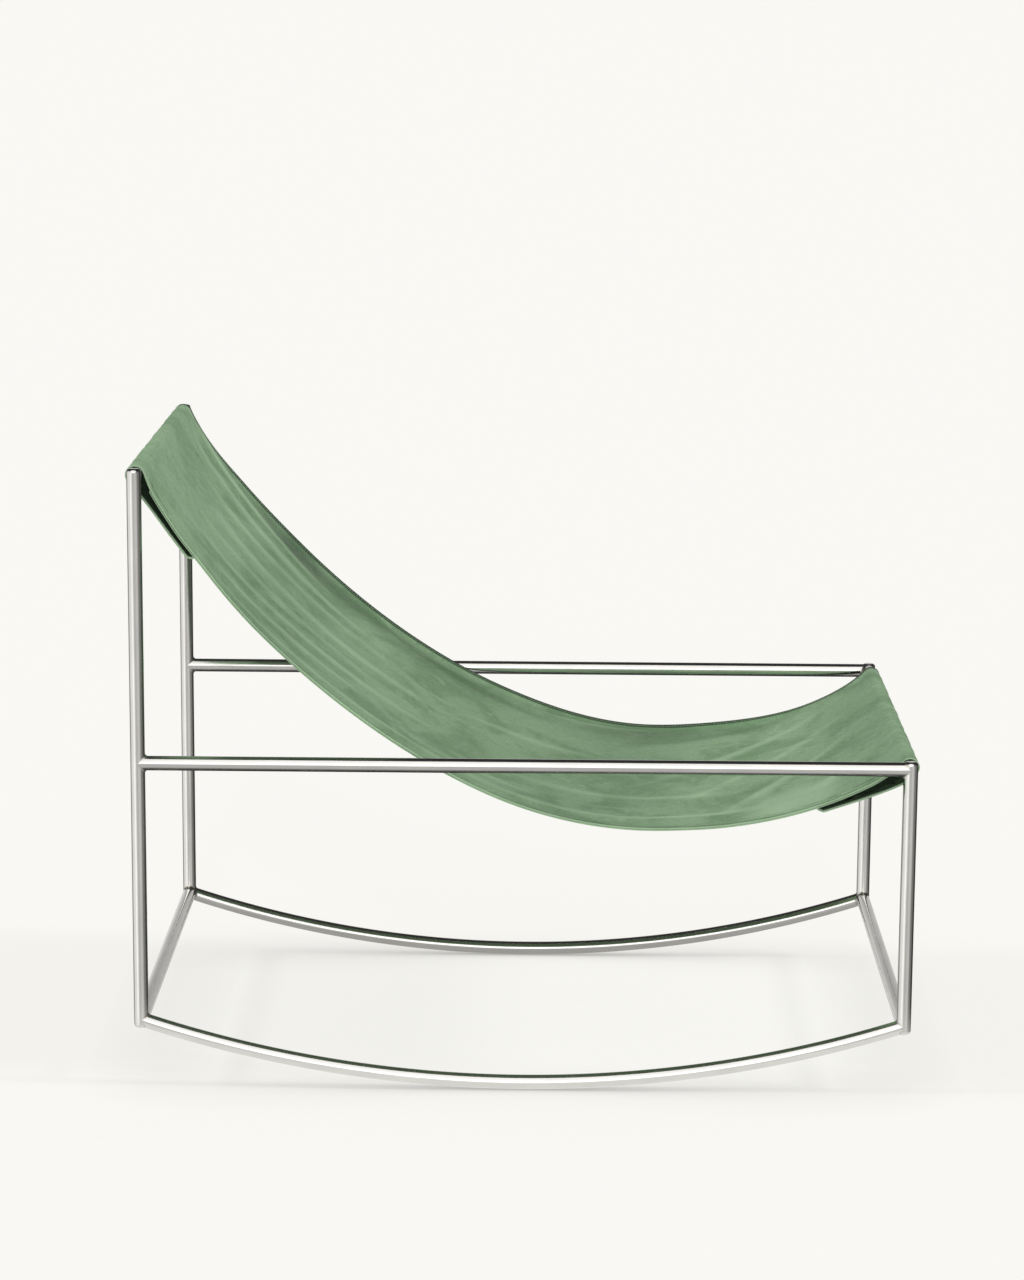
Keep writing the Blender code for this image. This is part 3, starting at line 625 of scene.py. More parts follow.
def crease_table():
    """The named creases, then small ones that run along the hide, drawn from a fixed seed."""
    draw = np.random.default_rng(11)
    start = draw.uniform(0.02, 0.86, SMALL_CREASES)
    side = draw.uniform(-0.94, 0.94, SMALL_CREASES)
    length = draw.uniform(0.06, 0.22, SMALL_CREASES)
    lean = draw.normal(0, 0.07, SMALL_CREASES) - 0.10 * side * (0.5 - start)
    small = np.stack((start, side, np.minimum(start + length, 0.99), np.clip(side + lean, -0.97, 0.97),
                      draw.uniform(3.5, 8, SMALL_CREASES), draw.normal(0, 0.28, SMALL_CREASES),
                      draw.normal(0, 5, SMALL_CREASES)), axis=1)
    return np.vstack((CREASES, small))


def crease_height(run, y):
    """Sum of soft ridges. Each is a bell across its line and fades at both ends of it."""
    total = np.zeros(np.broadcast(run, y).shape)
    for from_run, from_y, to_run, to_y, width, height, bow in crease_table():
        a = np.array((from_run * PANEL_LENGTH, from_y * SLING_HALF))
        b = np.array((to_run * PANEL_LENGTH, to_y * SLING_HALF))
        span = np.linalg.norm(b - a)
        way = (b - a) / span
        t = ((run - a[0]) * way[0] + (y - a[1]) * way[1]) / span
        inside = np.clip(t, 0, 1)
        aside = (y - a[1]) * way[0] - (run - a[0]) * way[1] - 0.001 * bow * np.sin(math.pi * inside)
        fade = np.sin(math.pi * inside) ** 0.8 * (t > 0) * (t < 1)
        total += 0.001 * height * fade * np.exp(-(aside / (0.001 * width)) ** 2)
    return total


def bell(value, at, width):
    return np.exp(-((value - at) / width) ** 2)


def between(value, start, risen, falling, end):
    """Rises smoothly from 0 to 1 between the first two, and falls between the last two."""
    return smooth_step(start, risen, value) * smooth_step(end, falling, value)


def hang(run, y):
    """How far the panel stands off its line, to the seat side, at a length along it and a place
    across: a twist in proportion to the place across, a cup that is a sine along and a parabola
    across, lips and grooves along the edges, and the creases."""
    share, across = run / PANEL_LENGTH, y / SLING_HALF
    inset = SLING_HALF - np.abs(y)
    twist = (TWIST * (smooth_step(0.0, 0.22, share) - smooth_step(0.52, 0.76, share))
             - TWIST_BACK * between(share, 0.76, 0.90, 0.92, 1.0))
    cup = -CUP * np.sin(math.pi * np.clip(share, 0, 1)) ** 0.9 * (1 - across**2)
    along_hem = between(share, 0.06, 0.22, 0.95, 0.995)
    near_lip = -NEAR_LIP * smooth_step(0.0060, 0.0010, inset) * (y < 0) * along_hem
    far_lip = FAR_LIP * smooth_step(FAR_LIP_WIDTH, 0.001, inset) * (y > 0)
    far_lip = far_lip * between(share, 0.03, 0.12, 0.80, 0.95)
    valley = -VALLEY * bell(inset, VALLEY_INSET, VALLEY_WIDTH) * between(share, 0.05, 0.20, 0.85, 0.97)
    groove = -GROOVE_DEPTH * bell(inset, HEM_GROOVE, GROOVE_WIDTH) * along_hem
    sag = -EDGE_SAG * smooth_step(EDGE_SAG_WIDTH, 0, inset) * (y < 0) * between(share, 0.0, 0.03, 0.07, 0.13)
    return twist * across + cup + near_lip + far_lip + valley + groove + sag + crease_height(run, y)


WAVE, SMALL_WAVE = 0.00035, 0.0002


def wrap_wave(y):
    """Slight waves where the hide lies on a bar, always outwards: a sine of a 0.10 m wave that swells
    and fades, and a smaller one of 0.045 m."""
    return WAVE * (1 + np.sin(y * 61 + 1.0) * np.cos(y * 23)) + SMALL_WAVE * (1 + np.sin(y * 140))


# How far the left and the right edge are drawn sideways, at the front bar and at the rear one.
FRONT_DRAWN, REAR_DRAWN = (-0.018, -0.0044), (0.0035, -0.0040)


def drawn(run, y):
    """At the front bar the hide has crept to the right, its left edge more than its right one, and at
    the rear bar its two edges stand slightly apart."""
    front = between(run, PANEL_TO - 0.085, PANEL_TO - 0.004, FRONT_BEND, FRONT_BEND + 0.09)
    rear = between(run, REAR_BEND - 0.06, REAR_BEND, PANEL_FROM + 0.004, PANEL_FROM + 0.09)
    for weight, (left, right) in ((front, FRONT_DRAWN), (rear, REAR_DRAWN)):
        y = y + weight * ((left + right) / 2 + (left - right) / 2 * y / SLING_HALF)
    return y


REAR_BEND = HIDE_RUN[len(rear_flap) - 1]
FRONT_BEND = HIDE_LENGTH - run_along(front_flap)[-1]
FLAP_BELLY = 0.0008         # a flap hangs this much further off the panel, above its sewn lip
FLAP_LIP = 0.012            # its last stretch moves with the panel
SETTLE = 0.012              # the panel's own shape fades in over this length from a bar


def hide_surface(run, y):
    """The middle of the hide's thickness at a length along the whole hide and a place across. The panel
    moves off its line by hang. A flap moves as the panel does at the seam, less and less towards the bar."""
    run, y = np.broadcast_arrays(np.asarray(run, float), np.asarray(y, float))
    line = np.stack([np.interp(run, HIDE_RUN, HIDE[:, k]) for k in (0, 1)], axis=-1)
    outwards = seat_normals(HIDE)
    way = unit(np.stack([np.interp(run, HIDE_RUN, outwards[:, k]) for k in (0, 1)], axis=-1))
    on_seat = (run >= PANEL_FROM) & (run <= PANEL_TO)
    calm = smooth_step(0, SETTLE, np.minimum(np.abs(run - PANEL_FROM), np.abs(run - PANEL_TO))) * on_seat
    seat = hang(np.clip(run - PANEL_FROM, 0, PANEL_LENGTH), y)
    rear = smooth_step(REAR_BEND, FLAP_LIP, run)
    front = smooth_step(FRONT_BEND, HIDE_LENGTH - FLAP_LIP, run)
    own = np.clip(1 - calm - rear - front, 0, 1)
    place = line + (calm * seat + own * wrap_wave(y))[..., None] * way
    for weight, seam, to_lip in ((rear, REAR_SEWN, run), (front, FRONT_SEWN, HIDE_LENGTH - run)):
        belly = FLAP_BELLY * between(to_lip, 0.0035, FLAP_LIP, 0.045, 0.105)
        off = weight * hang(np.full_like(y, seam), y) - belly
        place = place + off[..., None] * on_panel(seam)[1]
    return np.stack((place[..., 0], drawn(run, y), place[..., 1]), axis=-1)


def hide_normals(run, y, step=0.0008):
    """Across the two slopes of the surface, taken over a small step."""
    low, high = np.clip(run - step, 0, HIDE_LENGTH), np.clip(run + step, 0, HIDE_LENGTH)
    along = hide_surface(high, y) - hide_surface(low, y)
    across = hide_surface(run, y + step) - hide_surface(run, y - step)
    return unit(np.cross(along, across))


# ---------------------------------------------------------------- leather pieces

# How dark the hide is made, as a share, in each place that shaded names: painted shade, and a darker tone
# over the back and the seat.
HOLLOW_DARK, HOLLOW_INSET, HOLLOW_WIDTH = 0.34, 0.050, 0.036
GROOVE_DARK, GROOVE_DARK_WIDTH = 0.55, 0.0013
FOLD_DARK, BACK_DARK, SEAT_DARK = 0.20, 0.20, 0.18
POCKET_DARK = 0.62          # little light gets into the pockets
LEFT_EDGE_SHADE = 0.0120, 0.0090     # painted shade along the left edge: from the edge, where the dark band ends and where it is full

# Painted highlights, pale patches where light falls on the hide: how much, the place along as a share and
# its width, and the place across as a share of half the width and its width.
HIGHLIGHT_PATCHES = (
    (1.30, 0.87, 0.06, -0.80, 0.28),        # seat, beside the front bar at the right
    (0.35, 0.11, 0.06, 0.25, 0.35),         # top of the back
)
# Painted light over each bar's wrap: how much, the place along as a share and its width.
HIGHLIGHT_AT_BARS = (0.42, 0.0, 0.05), (0.25, 1.0, 0.03)


def shaded(run, y, from_left):
    """Where the hide is darkened: painted shade along the left edge, in the hollow beside it, in the groove
    beside the turned right edge and on one side of the fold at the top left, and a darker tone over the
    middle of the back and of the seat. It is 1 where it is darkest."""
    share, side, inset = run / PANEL_LENGTH, y / SLING_HALF, SLING_HALF - np.abs(y)
    edge = smooth_step(*LEFT_EDGE_SHADE, from_left) * (y > 0)
    along = (smooth_step(0.10, 0.22, share) - 0.55 * smooth_step(0.48, 0.58, share)
             + 0.45 * smooth_step(0.60, 0.68, share) - 0.9 * smooth_step(0.76, 0.88, share))
    hollow = HOLLOW_DARK * bell(inset, HOLLOW_INSET, HOLLOW_WIDTH) * (y > 0) * along
    groove = GROOVE_DARK * bell(inset, HEM_GROOVE, GROOVE_DARK_WIDTH) * (y < 0)
    groove = groove * (share > 0.05) * (share < 0.97)
    above_fold = smooth_step(0.0, 0.035, side - (0.99 - 1.32 * share)) * (y > 0)
    fold = FOLD_DARK * above_fold * between(share, 0.02, 0.05, 0.18, 0.30)
    back = BACK_DARK * bell(share, 0.23, 0.08)
    seat = SEAT_DARK * bell(share, 0.70, 0.07) * smooth_step(-0.6, 0.2, side)
    return np.clip(edge + hollow + groove + fold + back + seat, 0, 1)


def painted_light(run, y):
    """How much painted light lifts the hide: bells on the places listed above."""
    share, side = run / PANEL_LENGTH, y / SLING_HALF
    patches = sum(much * bell(share, at, width) * bell(side, across, wide)
                  for much, at, width, across, wide in HIGHLIGHT_PATCHES)
    return patches + sum(much * bell(share, at, width) for much, at, width in HIGHLIGHT_AT_BARS)


EDGE_STEPS = 5              # points round a cut edge
EDGE_WORN = 0.0015          # how far in from a cut edge the burnishing reaches
HEM_SWELL = 0.35            # share by which the flaps' edges are thicker
HEM_WIDTH = 0.013
SEAM_FADE = 0.010           # how far past its seam a pocket's shade reaches


def shell(name, run, y, offset, thickness, material, swell=0.0):
    """A sheet with thickness that follows the hide: the loop of its section, with both long edges
    rounded, carried along the run. y holds the places between the rounded edges. Its two short ends
    taper and are closed."""
    half = thickness / 2
    width = len(y)
    turn = np.linspace(math.pi / 2, -math.pi / 2, EDGE_STEPS + 2)[1:-1]
    pick = np.concatenate((np.arange(width), np.full(EDGE_STEPS, width - 1), np.arange(width)[::-1],
                           np.zeros(EDGE_STEPS, int)))
    out = np.concatenate((0 * y, np.cos(turn), 0 * y, -np.cos(turn)))
    high = np.concatenate((0 * y + 1, np.sin(turn), 0 * y - 1, -np.sin(turn)))
    to_end = np.minimum(run - run[0], run[-1] - run)
    taper = np.sqrt(np.clip(1 - (1 - np.clip(to_end / half, 0.03, 1)) ** 2, 0, 1))[:, None]
    grid_run, grid_y = np.broadcast_arrays(run[:, None], y[None, :])
    middles = hide_surface(grid_run, grid_y)
    normals = unit(np.cross(np.gradient(middles, axis=0), np.gradient(middles, axis=1)))
    flap = smooth_step(REAR_BEND, REAR_BEND - 0.03, run) + smooth_step(FRONT_BEND, FRONT_BEND + 0.03, run)
    hem = smooth_step(HEM_WIDTH, HEM_WIDTH - 0.003, SLING_HALF - np.abs(y))
    thick = (half * taper * (1 + swell * flap[:, None] * hem))[:, pick]
    points = middles[:, pick] + normals[:, pick] * (offset + thick * high)[..., None]
    points[..., 1] += half * taper * out
    rows, columns = points.shape[:2]
    i, j = grid_quads(rows, columns)
    faces = (i * columns + j % columns)[:, ::-1].tolist()
    v = y[pick] + half * out
    v_wrapped = np.append(v, v[0])
    uv = np.stack((run[i], v_wrapped[j]), axis=-1)[:, ::-1].reshape(-1, 2)
    k = np.arange(width - 1)
    under = 2 * width + EDGE_STEPS - 1 - k
    last = (rows - 1) * columns
    start = np.stack((k, k + 1, under - 1, under), axis=1)
    arcs = (np.arange(width - 1, width + EDGE_STEPS + 1),
            np.append(np.arange(2 * width + EDGE_STEPS - 1, columns), 0))
    faces += start.tolist() + (last + start[:, ::-1]).tolist()
    faces += [arc.tolist() for arc in arcs] + [(last + arc[::-1]).tolist() for arc in arcs]
    tail = np.array([corner for face in faces[len(i):] for corner in face])
    uv = np.vstack((uv, np.stack((run[tail // columns], v[tail % columns]), axis=1)))
    inset = np.minimum(v - v.min(), v.max() - v)
    edge = np.exp(-(np.minimum(inset[None, :], to_end[:, None]) / EDGE_WORN) ** 2)
    shade = shaded(grid_run[:, pick] - PANEL_FROM, v[None, :], v.max() - v[None, :])
    in_mm = 1000 * crease_height(np.clip(grid_run - PANEL_FROM, 0, PANEL_LENGTH), grid_y)
    creased = in_mm * ((grid_run > PANEL_FROM) & (grid_run < PANEL_TO))
    # Stretched pale on crease ridges, painted shade in crease valleys, and painted highlights on a few
    # patches.
    strain_and_painted_light = (creased + painted_light(grid_run - PANEL_FROM, grid_y))[:, pick]
    flesh = np.clip(0.5 - 0.5 * high, 0, 1)[None, :] + 0 * edge
    place = (run - PANEL_FROM)[:, None]
    pocket = (smooth_step(REAR_SEWN + SEAM_FADE, REAR_SEWN, place)
              + smooth_step(FRONT_SEWN - SEAM_FADE, FRONT_SEWN, place))
    shade = np.clip(shade + POCKET_DARK * pocket * flesh, 0, 1)
    return make_piece(name, points.reshape(-1, 3), faces, material, uv=uv,
                      attributes={"edge": edge, "strain_and_painted_light": strain_and_painted_light, "flesh": flesh, "shade": shade})


def spread_steps(low, high, step, fine_low, fine_high, fine_step):
    """Even steps, with a finer band at each end."""
    return np.unique(np.concatenate((np.arange(low, low + fine_low, fine_step),
                                     np.linspace(low + fine_low, high - fine_high,
                                                 int((high - low - fine_low - fine_high) / step) + 2),
                                     high - np.arange(0, fine_high, fine_step))))


STRIP_WIDTH, STRIP_START, STRIP_STOP = 0.018, 0.025, 0.014
STRIP = 0.0016              # the turned layer, skived
STRIP_INSET = 0.0003        # how far its edge stands in from the hide's
GLUE = 0.00005              # between the two layers


def make_leather(material):
    lip = (0, 0.0002, 0.0005, 0.0009, 0.0013)
    run = np.concatenate((lip, np.arange(0.0035, REAR_BEND, 0.0042),
                          np.linspace(REAR_BEND, PANEL_FROM, 22),
                          np.arange(PANEL_FROM + 0.003, PANEL_TO - 0.002, 0.0043),
                          np.linspace(PANEL_TO, FRONT_BEND, 20),
                          np.arange(FRONT_BEND + 0.003, HIDE_LENGTH - 0.003, 0.0042),
                          HIDE_LENGTH - np.array(lip)[::-1]))
    inside = SLING_HALF - LEATHER / 2
    y = spread_steps(-inside, inside, 0.0056, 0.0165, 0.0165, 0.0011)
    hide = shell("seat_sling_hide", run, y, 0.0, LEATHER, material, HEM_SWELL)
    strips = []
    for side_name, side in SIDES.items():
        run = spread_steps(PANEL_FROM + STRIP_START, PANEL_TO - STRIP_STOP, 0.0045, 0.003, 0.003, 0.0006)
        inset = spread_steps(STRIP_INSET + STRIP / 2, STRIP_WIDTH - STRIP / 2, 0.0016, 0.0012, 0.0012, 0.0006)
        y = np.sort(side * (SLING_HALF - inset))
        below = -(LEATHER + STRIP) / 2 - GLUE
        strip = shell(f"edge_strip_{side_name}_hide", run, y, below, STRIP, material)
        finish_piece(strip, "sling_leather", f"edge_strip_{side_name}")
        strips.append(strip)
    finish_piece(hide, "sling_leather", "seat_sling")
    return hide, strips


# ---------------------------------------------------------------- stitching

THREAD = 0.0008
STITCH_PITCH, STITCH_LENGTH = 0.0042, 0.0034
STITCH_SLANT = 0.0003       # how far to each side of the row a stitch's two ends lie
ROW_ENDS = 0.004            # from the end of a strip to the first stitch
SEAM_INSET = 0.007          # from the hide's edge to the row along it
STITCH_SIDES = 6
SEAM_SUNK = 0.00050         # the cross seams are pulled deeper into the hide


def make_stitches(name, start, stop, outwards, material):
    """One mesh of short rounded threads. Each is a bar from start to stop that arches outwards: a hexagon
    carried along seven places, thinner and deeper towards both ends."""
    t = np.linspace(-1, 1, 7)
    way = unit(stop - start)
    sideways = np.cross(way, outwards)
    middle_at = (start + stop) / 2
    reach = np.linalg.norm(stop - start, axis=1, keepdims=True) / 2
    radius = THREAD / 2 * np.sqrt(np.clip(1 - t**4, 0.04, 1))
    lift = THREAD * (0.34 - 0.62 * t**2)
    turn = np.arange(STITCH_SIDES) * 2 * math.pi / STITCH_SIDES
    centre = (middle_at[:, None] + (t[:, None] * reach[:, None]) * way[:, None]
              + lift[:, None] * outwards[:, None])
    out = np.cos(turn)[:, None] * outwards[:, None] + np.sin(turn)[:, None] * -sideways[:, None]
    points = centre[:, :, None] + radius[:, None, None] * out[:, None]
    count, rows, columns = points.shape[:3]
    i, j = grid_quads(rows, columns)
    quads = i * columns + j % columns
    base = (np.arange(count) * rows * columns)[:, None, None]
    faces = (base + quads[None]).reshape(-1, 4).tolist()
    cap = np.arange(columns)
    faces += (base[:, 0] + cap[None, ::-1]).tolist() + (base[:, 0] + (rows - 1) * columns + cap).tolist()
    return make_piece(name, points.reshape(-1, 3), faces, material)


def seam_row(runs, ys, depth):
    """Places and outward directions on the hide's grain side, or on a face below it."""
    run, y = np.broadcast_arrays(np.asarray(runs, float), np.asarray(ys, float))
    normals = hide_normals(run, y)
    return hide_surface(run, y) + depth * normals, normals


def make_stitching(material):
    pieces = []
    for side_name, side in SIDES.items():
        run = np.arange(PANEL_FROM + STRIP_START + ROW_ENDS, PANEL_TO - STRIP_STOP - ROW_ENDS, STITCH_PITCH)
        y = side * (SLING_HALF - SEAM_INSET)
        rows = []
        for depth, flip in ((LEATHER / 2, 1), (-LEATHER / 2 - STRIP - GLUE, -1)):
            shift = 0 if flip > 0 else STITCH_PITCH / 2
            start, out = seam_row(run + shift, y + STITCH_SLANT, depth)
            stop, _ = seam_row(run + shift + STITCH_LENGTH, y - STITCH_SLANT, depth)
            rows.append((start, stop, flip * out))
        pieces.append(make_stitches(f"edge_stitching_{side_name}", *(np.concatenate(p) for p in zip(*rows)),
                                    material))
        finish_piece(pieces[-1], "sewing_thread", f"edge_thread_{side_name}")
    for end_name, run in (("rear", PANEL_FROM + FLAP_REACH + LIP_RUN * 0.7),
                          ("front", PANEL_TO - FLAP_REACH - LIP_RUN * 0.7)):
        y = np.arange(-SLING_HALF + 0.010, SLING_HALF - 0.012, STITCH_PITCH)
        start, out = seam_row(run, y, LEATHER / 2 - SEAM_SUNK)
        stop, _ = seam_row(run, y + STITCH_LENGTH, LEATHER / 2 - SEAM_SUNK)
        pieces.append(make_stitches(f"{end_name}_seam_stitching", start, stop, out, material))
        finish_piece(pieces[-1], "sewing_thread", f"{end_name}_seam_thread")
    return pieces


# ---------------------------------------------------------------- materials

def new_surface(name):
    """An empty node tree for a material that ends in one Principled shader."""
    material = bpy.data.materials.new(name)
    material.use_nodes = True
    tree = material.node_tree
    tree.nodes.clear()
    shader = add(tree, "ShaderNodeBsdfPrincipled")
    add(tree, "ShaderNodeOutputMaterial", {"Surface": shader.outputs[0]})
    return material, tree, shader


# Sizes in metres. The brushing and the grit are drawn several times as coarse as real ones, to show.
STREAK = 0.0007, 0.045      # width and length of a brushed line
STEEL_CLOUD = 0.020, 0.060  # round and along the tube
STEEL_ROUGH = 0.11, 0.20
HEAT_ROUGH = 0.22           # added where the tint is full
WELD_GRIT, WELD_LUMP = 0.0012, 0.006
WELD_DULL = 0.26, 0.42
PLY = 0.0006                # of the thread


def drawn_stainless_tube():
    """Drawn stainless tube, brushed lengthwise to a satin. The eye gets long soft-edged reflections with
    fine streaks along the tube, and a faint straw tint close to each weld."""
    material, tree, shader = new_surface("drawn_stainless_tube_satin")
    uv = add(tree, "ShaderNodeUVMap", uv_map="UVMap").outputs[0]
    streak_at = add(tree, "ShaderNodeMapping", {"Vector": uv, "Scale": (1 / STREAK[0], 1 / STREAK[1], 1)})
    streaks = add(tree, "ShaderNodeTexNoise", {"Vector": streak_at.outputs[0], "Scale": 1.0, "Detail": 3.0,
                                               "Roughness": 0.6}).outputs["Fac"]
    cloud_at = add(tree, "ShaderNodeMapping", {"Vector": uv,
                                               "Scale": (1 / STEEL_CLOUD[0], 1 / STEEL_CLOUD[1], 1)})
    clouds = add(tree, "ShaderNodeTexNoise", {"Vector": cloud_at.outputs[0], "Scale": 1.0,
                                              "Detail": 4.0}).outputs["Fac"]
    tone = add(tree, "ShaderNodeMapRange", {"Value": clouds, "From Min": 0.3, "From Max": 0.7,
                                            "To Min": 0.0, "To Max": 1.0})
    colour = add(tree, "ShaderNodeMix", {"Factor": tone.outputs["Result"], "A": rgba("D3D2D0"),
                                         "B": rgba("DEDDDA")}, data_type="RGBA")
    heat = add(tree, "ShaderNodeAttribute", attribute_name="heat").outputs["Fac"]
    mottled = add(tree, "ShaderNodeMath", {0: heat, 1: clouds}, operation="MULTIPLY")
    tinted = add(tree, "ShaderNodeMix", {"Factor": mottled.outputs[0], "A": colour.outputs["Result"],
                                         "B": rgba("A49A8C")}, data_type="RGBA")
    tree.links.new(tinted.outputs["Result"], shader.inputs["Base Color"])
    rough = add(tree, "ShaderNodeMapRange", {"Value": streaks, "From Min": 0.25, "From Max": 0.75,
                                             "To Min": STEEL_ROUGH[0], "To Max": STEEL_ROUGH[1]})
    rough = add(tree, "ShaderNodeMath", {0: mottled.outputs[0], 1: HEAT_ROUGH, 2: rough.outputs["Result"]},
                operation="MULTIPLY_ADD")
    tree.links.new(rough.outputs[0], shader.inputs["Roughness"])
    fine = add(tree, "ShaderNodeBump", {"Height": streaks, "Strength": 0.10, "Distance": 0.00012})
    wavy = add(tree, "ShaderNodeBump", {"Height": clouds, "Strength": 0.25, "Distance": 0.00020,
                                        "Normal": fine.outputs[0]})
    tree.links.new(wavy.outputs[0], shader.inputs["Normal"])
    shader.inputs["Metallic"].default_value = 1.0
    return material


def ground_weld():
    """Welded joint, ground and blended by hand. The eye gets short scratches in all directions and a
    duller, slightly warm grey."""
    material, tree, shader = new_surface("ground_stainless_weld")
    place = add(tree, "ShaderNodeTexCoord").outputs["Object"]
    grit = add(tree, "ShaderNodeTexNoise", {"Vector": place, "Scale": 1 / WELD_GRIT, "Detail": 4.0,
                                            "Roughness": 0.7})
    lumps = add(tree, "ShaderNodeTexNoise", {"Vector": place, "Scale": 1 / WELD_LUMP, "Detail": 2.0})
    colour = add(tree, "ShaderNodeMix", {"Factor": lumps.outputs["Fac"], "A": rgba("BDB8B0"),
                                         "B": rgba("D6D3CE")}, data_type="RGBA")
    tree.links.new(colour.outputs["Result"], shader.inputs["Base Color"])
    rough = add(tree, "ShaderNodeMapRange", {"Value": grit.outputs["Fac"], "From Min": 0.3, "From Max": 0.7,
                                             "To Min": WELD_DULL[0], "To Max": WELD_DULL[1]})
    tree.links.new(rough.outputs["Result"], shader.inputs["Roughness"])
    fine = add(tree, "ShaderNodeBump", {"Height": grit.outputs["Fac"], "Strength": 0.2, "Distance": 0.00015})
    soft = add(tree, "ShaderNodeBump", {"Height": lumps.outputs["Fac"], "Strength": 0.35, "Distance": 0.0006,
                                        "Normal": fine.outputs[0]})
    tree.links.new(soft.outputs[0], shader.inputs["Normal"])
    shader.inputs["Metallic"].default_value = 1.0
    return material


LEATHER_MID, LEATHER_PALE = "85A280", "A1BD9B"
LEATHER_DEEP, LEATHER_DARK = "6E8D6A", "56734F"
LEATHER_EDGE, LEATHER_FLESH, LEATHER_SHADED = "9AB594", "4C6247", "2C382D"
HIDE_SHEEN = 0.32

# Patterns of the hide, each a noise: its size in mm, its stretch along and across the hide, its
# detail, roughness and warp, and where it is cut from. Real grain is finer than mottle: it is drawn at
# 3 mm so that it shows.
HIDE_PATTERNS = {
    "clouds": (80, (1.2, 1.5), 6.0, 0.60, 1.0, 0.0),
    "wisps": (34, (1.9, 1.5), 6.0, 0.66, 1.6, 3.1),
    "pulls": (8, (16, 1), 3.0, 0.55, 0.8, 7.7),
    "dusk": (28, (1.3, 1.7), 6.0, 0.68, 1.4, 6.3),
    "line": (24, (3.0, 1.3), 4.0, 0.60, 1.8, 12.4),
    "mottle": (3.2, (1, 2.2), 5.0, 0.75, 0.0, 1.9),
    "wax": (9, (1, 1), 4.0, 0.55, 0.0, 5.0),
    "ripples": (16, (3.5, 1), 3.0, 0.55, 0.5, 2.2),
    "folds": (60, (2.2, 1), 2.0, 0.55, 0.0, 9.2),
}

# Colours laid over one another: the pattern or attribute, where it starts and is full, its share, and
# the colour.
HIDE_COLOURS = (
    ("clouds", 0.36, 0.62, 1.0, LEATHER_MID),
    ("wisps", 0.52, 0.78, 0.60, LEATHER_PALE),
    ("pulls", 0.60, 0.84, 0.22, LEATHER_PALE),
    ("dusk", 0.54, 0.78, 0.50, LEATHER_DARK),
    ("wrinkle", None, None, 0.30, LEATHER_DARK),
    ("mottle", 0.35, 0.70, 0.40, LEATHER_DARK),
    ("strain_and_painted_light", 0.15, 1.2, 0.58, LEATHER_PALE),      # stretched pale along the top of a crease, and painted highlights
    ("strain_and_painted_light", -0.1, -0.9, 0.40, LEATHER_DARK),     # and painted shade in its valley
    ("flesh", 0.5, 0.9, 1.0, LEATHER_FLESH),
    ("edge", 0.25, 0.9, 0.80, LEATHER_EDGE),
    # painted shade from shaded and inside the pockets
    ("shade", None, None, 0.92, LEATHER_SHADED),
)

# Relief, from fine to broad: the pattern, its strength and its depth in metres.
HIDE_RELIEF = (("pebbles", 0.35, 0.00025), ("ripples", 0.45, 0.0016), ("wrinkle", 0.35, 0.0006),
               ("folds", 0.40, 0.006))
PEBBLE = 0.0022             # drawn twice as coarse as real grain, to show


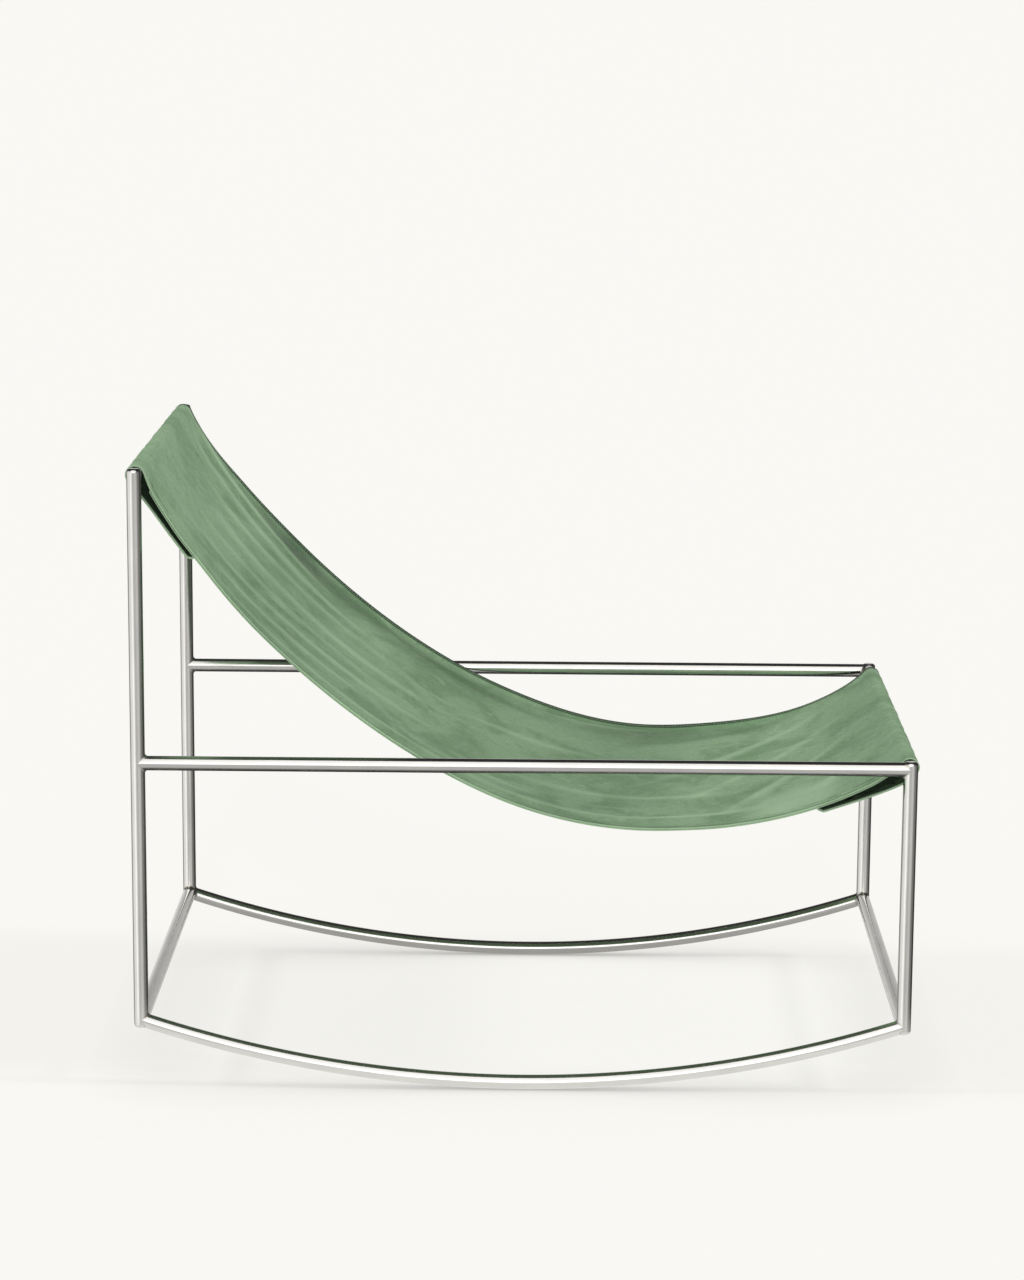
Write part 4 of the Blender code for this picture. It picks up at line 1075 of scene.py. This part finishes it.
def waxed_green_leather():
    """Full-grain hide, dyed through and waxed. The eye gets a soft sheen, clouds of lighter and darker
    green, pale stretched lines along creases, a fine pebbled grain and burnished cut edges. The flesh
    side is duller and darker. Painted shade darkens crease valleys, the left edge, hollows and pockets,
    and painted highlights lighten a few patches."""
    material, tree, shader = new_surface("waxed_full_grain_leather_green")
    uv = add(tree, "ShaderNodeUVMap", uv_map="UVMap").outputs[0]
    seen = {}
    for name, (size_mm, stretch, detail, rough, warp, place) in HIDE_PATTERNS.items():
        scale = (1000 / size_mm / stretch[0], 1000 / size_mm / stretch[1], 1)
        at = add(tree, "ShaderNodeMapping", {"Vector": uv, "Location": (place, place / 2, 0), "Scale": scale})
        seen[name] = add(tree, "ShaderNodeTexNoise", {"Vector": at.outputs[0], "Scale": 1.0, "Detail": detail,
                                                      "Roughness": rough, "Distortion": warp}).outputs["Fac"]
    for name in ("strain_and_painted_light", "flesh", "edge", "shade"):
        seen[name] = add(tree, "ShaderNodeAttribute", attribute_name=name).outputs["Fac"]
    pebbles = add(tree, "ShaderNodeTexVoronoi", {"Vector": uv, "Scale": 1 / PEBBLE, "Randomness": 1.0},
                  feature="SMOOTH_F1")
    seen["pebbles"] = pebbles.outputs["Distance"]

    # Fine wrinkles follow the middle value of their noise, and show where the clouds are dark.
    off_line = add(tree, "ShaderNodeMath", {0: seen["line"], 1: 0.5}, operation="SUBTRACT")
    off_line = add(tree, "ShaderNodeMath", {0: off_line.outputs[0]}, operation="ABSOLUTE")
    on_line = add(tree, "ShaderNodeMapRange", {"Value": off_line.outputs[0], "From Min": 0.016,
                                               "From Max": 0.0}, interpolation_type="SMOOTHSTEP")
    cloud = add(tree, "ShaderNodeMapRange", {"Value": seen["clouds"], "From Min": 0.36,
                                             "From Max": 0.62}, interpolation_type="SMOOTHSTEP")
    in_dark = add(tree, "ShaderNodeMapRange", {"Value": cloud.outputs["Result"], "From Min": 0.9,
                                               "From Max": 0.2}, interpolation_type="SMOOTHSTEP")
    seen["wrinkle"] = add(tree, "ShaderNodeMath", {0: on_line.outputs["Result"],
                                                   1: in_dark.outputs["Result"]},
                          operation="MULTIPLY").outputs[0]

    colour = rgba(LEATHER_DEEP)
    for name, low, high, share, code in HIDE_COLOURS:
        factor = seen[name]
        if low is not None:
            factor = add(tree, "ShaderNodeMapRange", {"Value": factor, "From Min": low, "From Max": high},
                         interpolation_type="SMOOTHSTEP").outputs["Result"]
        factor = add(tree, "ShaderNodeMath", {0: factor, 1: share}, operation="MULTIPLY").outputs[0]
        colour = add(tree, "ShaderNodeMix", {"Factor": factor, "A": colour, "B": rgba(code)},
                     data_type="RGBA").outputs["Result"]
    tree.links.new(colour, shader.inputs["Base Color"])
    dull = add(tree, "ShaderNodeMapRange", {"Value": seen["wax"], "From Min": 0.3, "From Max": 0.7,
                                            "To Min": 0.46, "To Max": 0.60}, interpolation_type="SMOOTHSTEP")
    tree.links.new(dull.outputs["Result"], shader.inputs["Roughness"])
    shader.inputs["Specular IOR Level"].default_value = HIDE_SHEEN
    relief = {}
    for name, strength, depth in HIDE_RELIEF:
        bump = add(tree, "ShaderNodeBump", {"Height": seen[name], "Strength": strength, "Distance": depth,
                                            **relief}, invert=name == "wrinkle")
        relief = {"Normal": bump.outputs[0]}
    tree.links.new(relief["Normal"], shader.inputs["Normal"])
    return material


def waxed_thread():
    """Waxed polyester thread in the hide's own green: two plies, with a low sheen."""
    material, tree, shader = new_surface("waxed_sewing_thread_green")
    place = add(tree, "ShaderNodeTexCoord").outputs["Object"]
    plies = add(tree, "ShaderNodeTexNoise", {"Vector": place, "Scale": 1 / PLY, "Detail": 2.0})
    colour = add(tree, "ShaderNodeMix", {"Factor": plies.outputs["Fac"], "A": rgba("6A8564"),
                                         "B": rgba("9CB695")}, data_type="RGBA")
    tree.links.new(colour.outputs["Result"], shader.inputs["Base Color"])
    bump = add(tree, "ShaderNodeBump", {"Height": plies.outputs["Fac"], "Strength": 0.4, "Distance": 0.0002})
    tree.links.new(bump.outputs[0], shader.inputs["Normal"])
    shader.inputs["Roughness"].default_value = 0.55
    return material


# ---------------------------------------------------------------- the whole chair

scene = bpy.context.scene
scene.view_settings.view_transform = "Standard"
make_camera()
make_world()
make_suns()
make_floor()

tube_steel, weld_steel = drawn_stainless_tube(), ground_weld()
make_frame(tube_steel)
make_welds(weld_steel)

hide, strips = make_leather(waxed_green_leather())
stitching = make_stitching(waxed_thread())

bpy.context.view_layer.update()
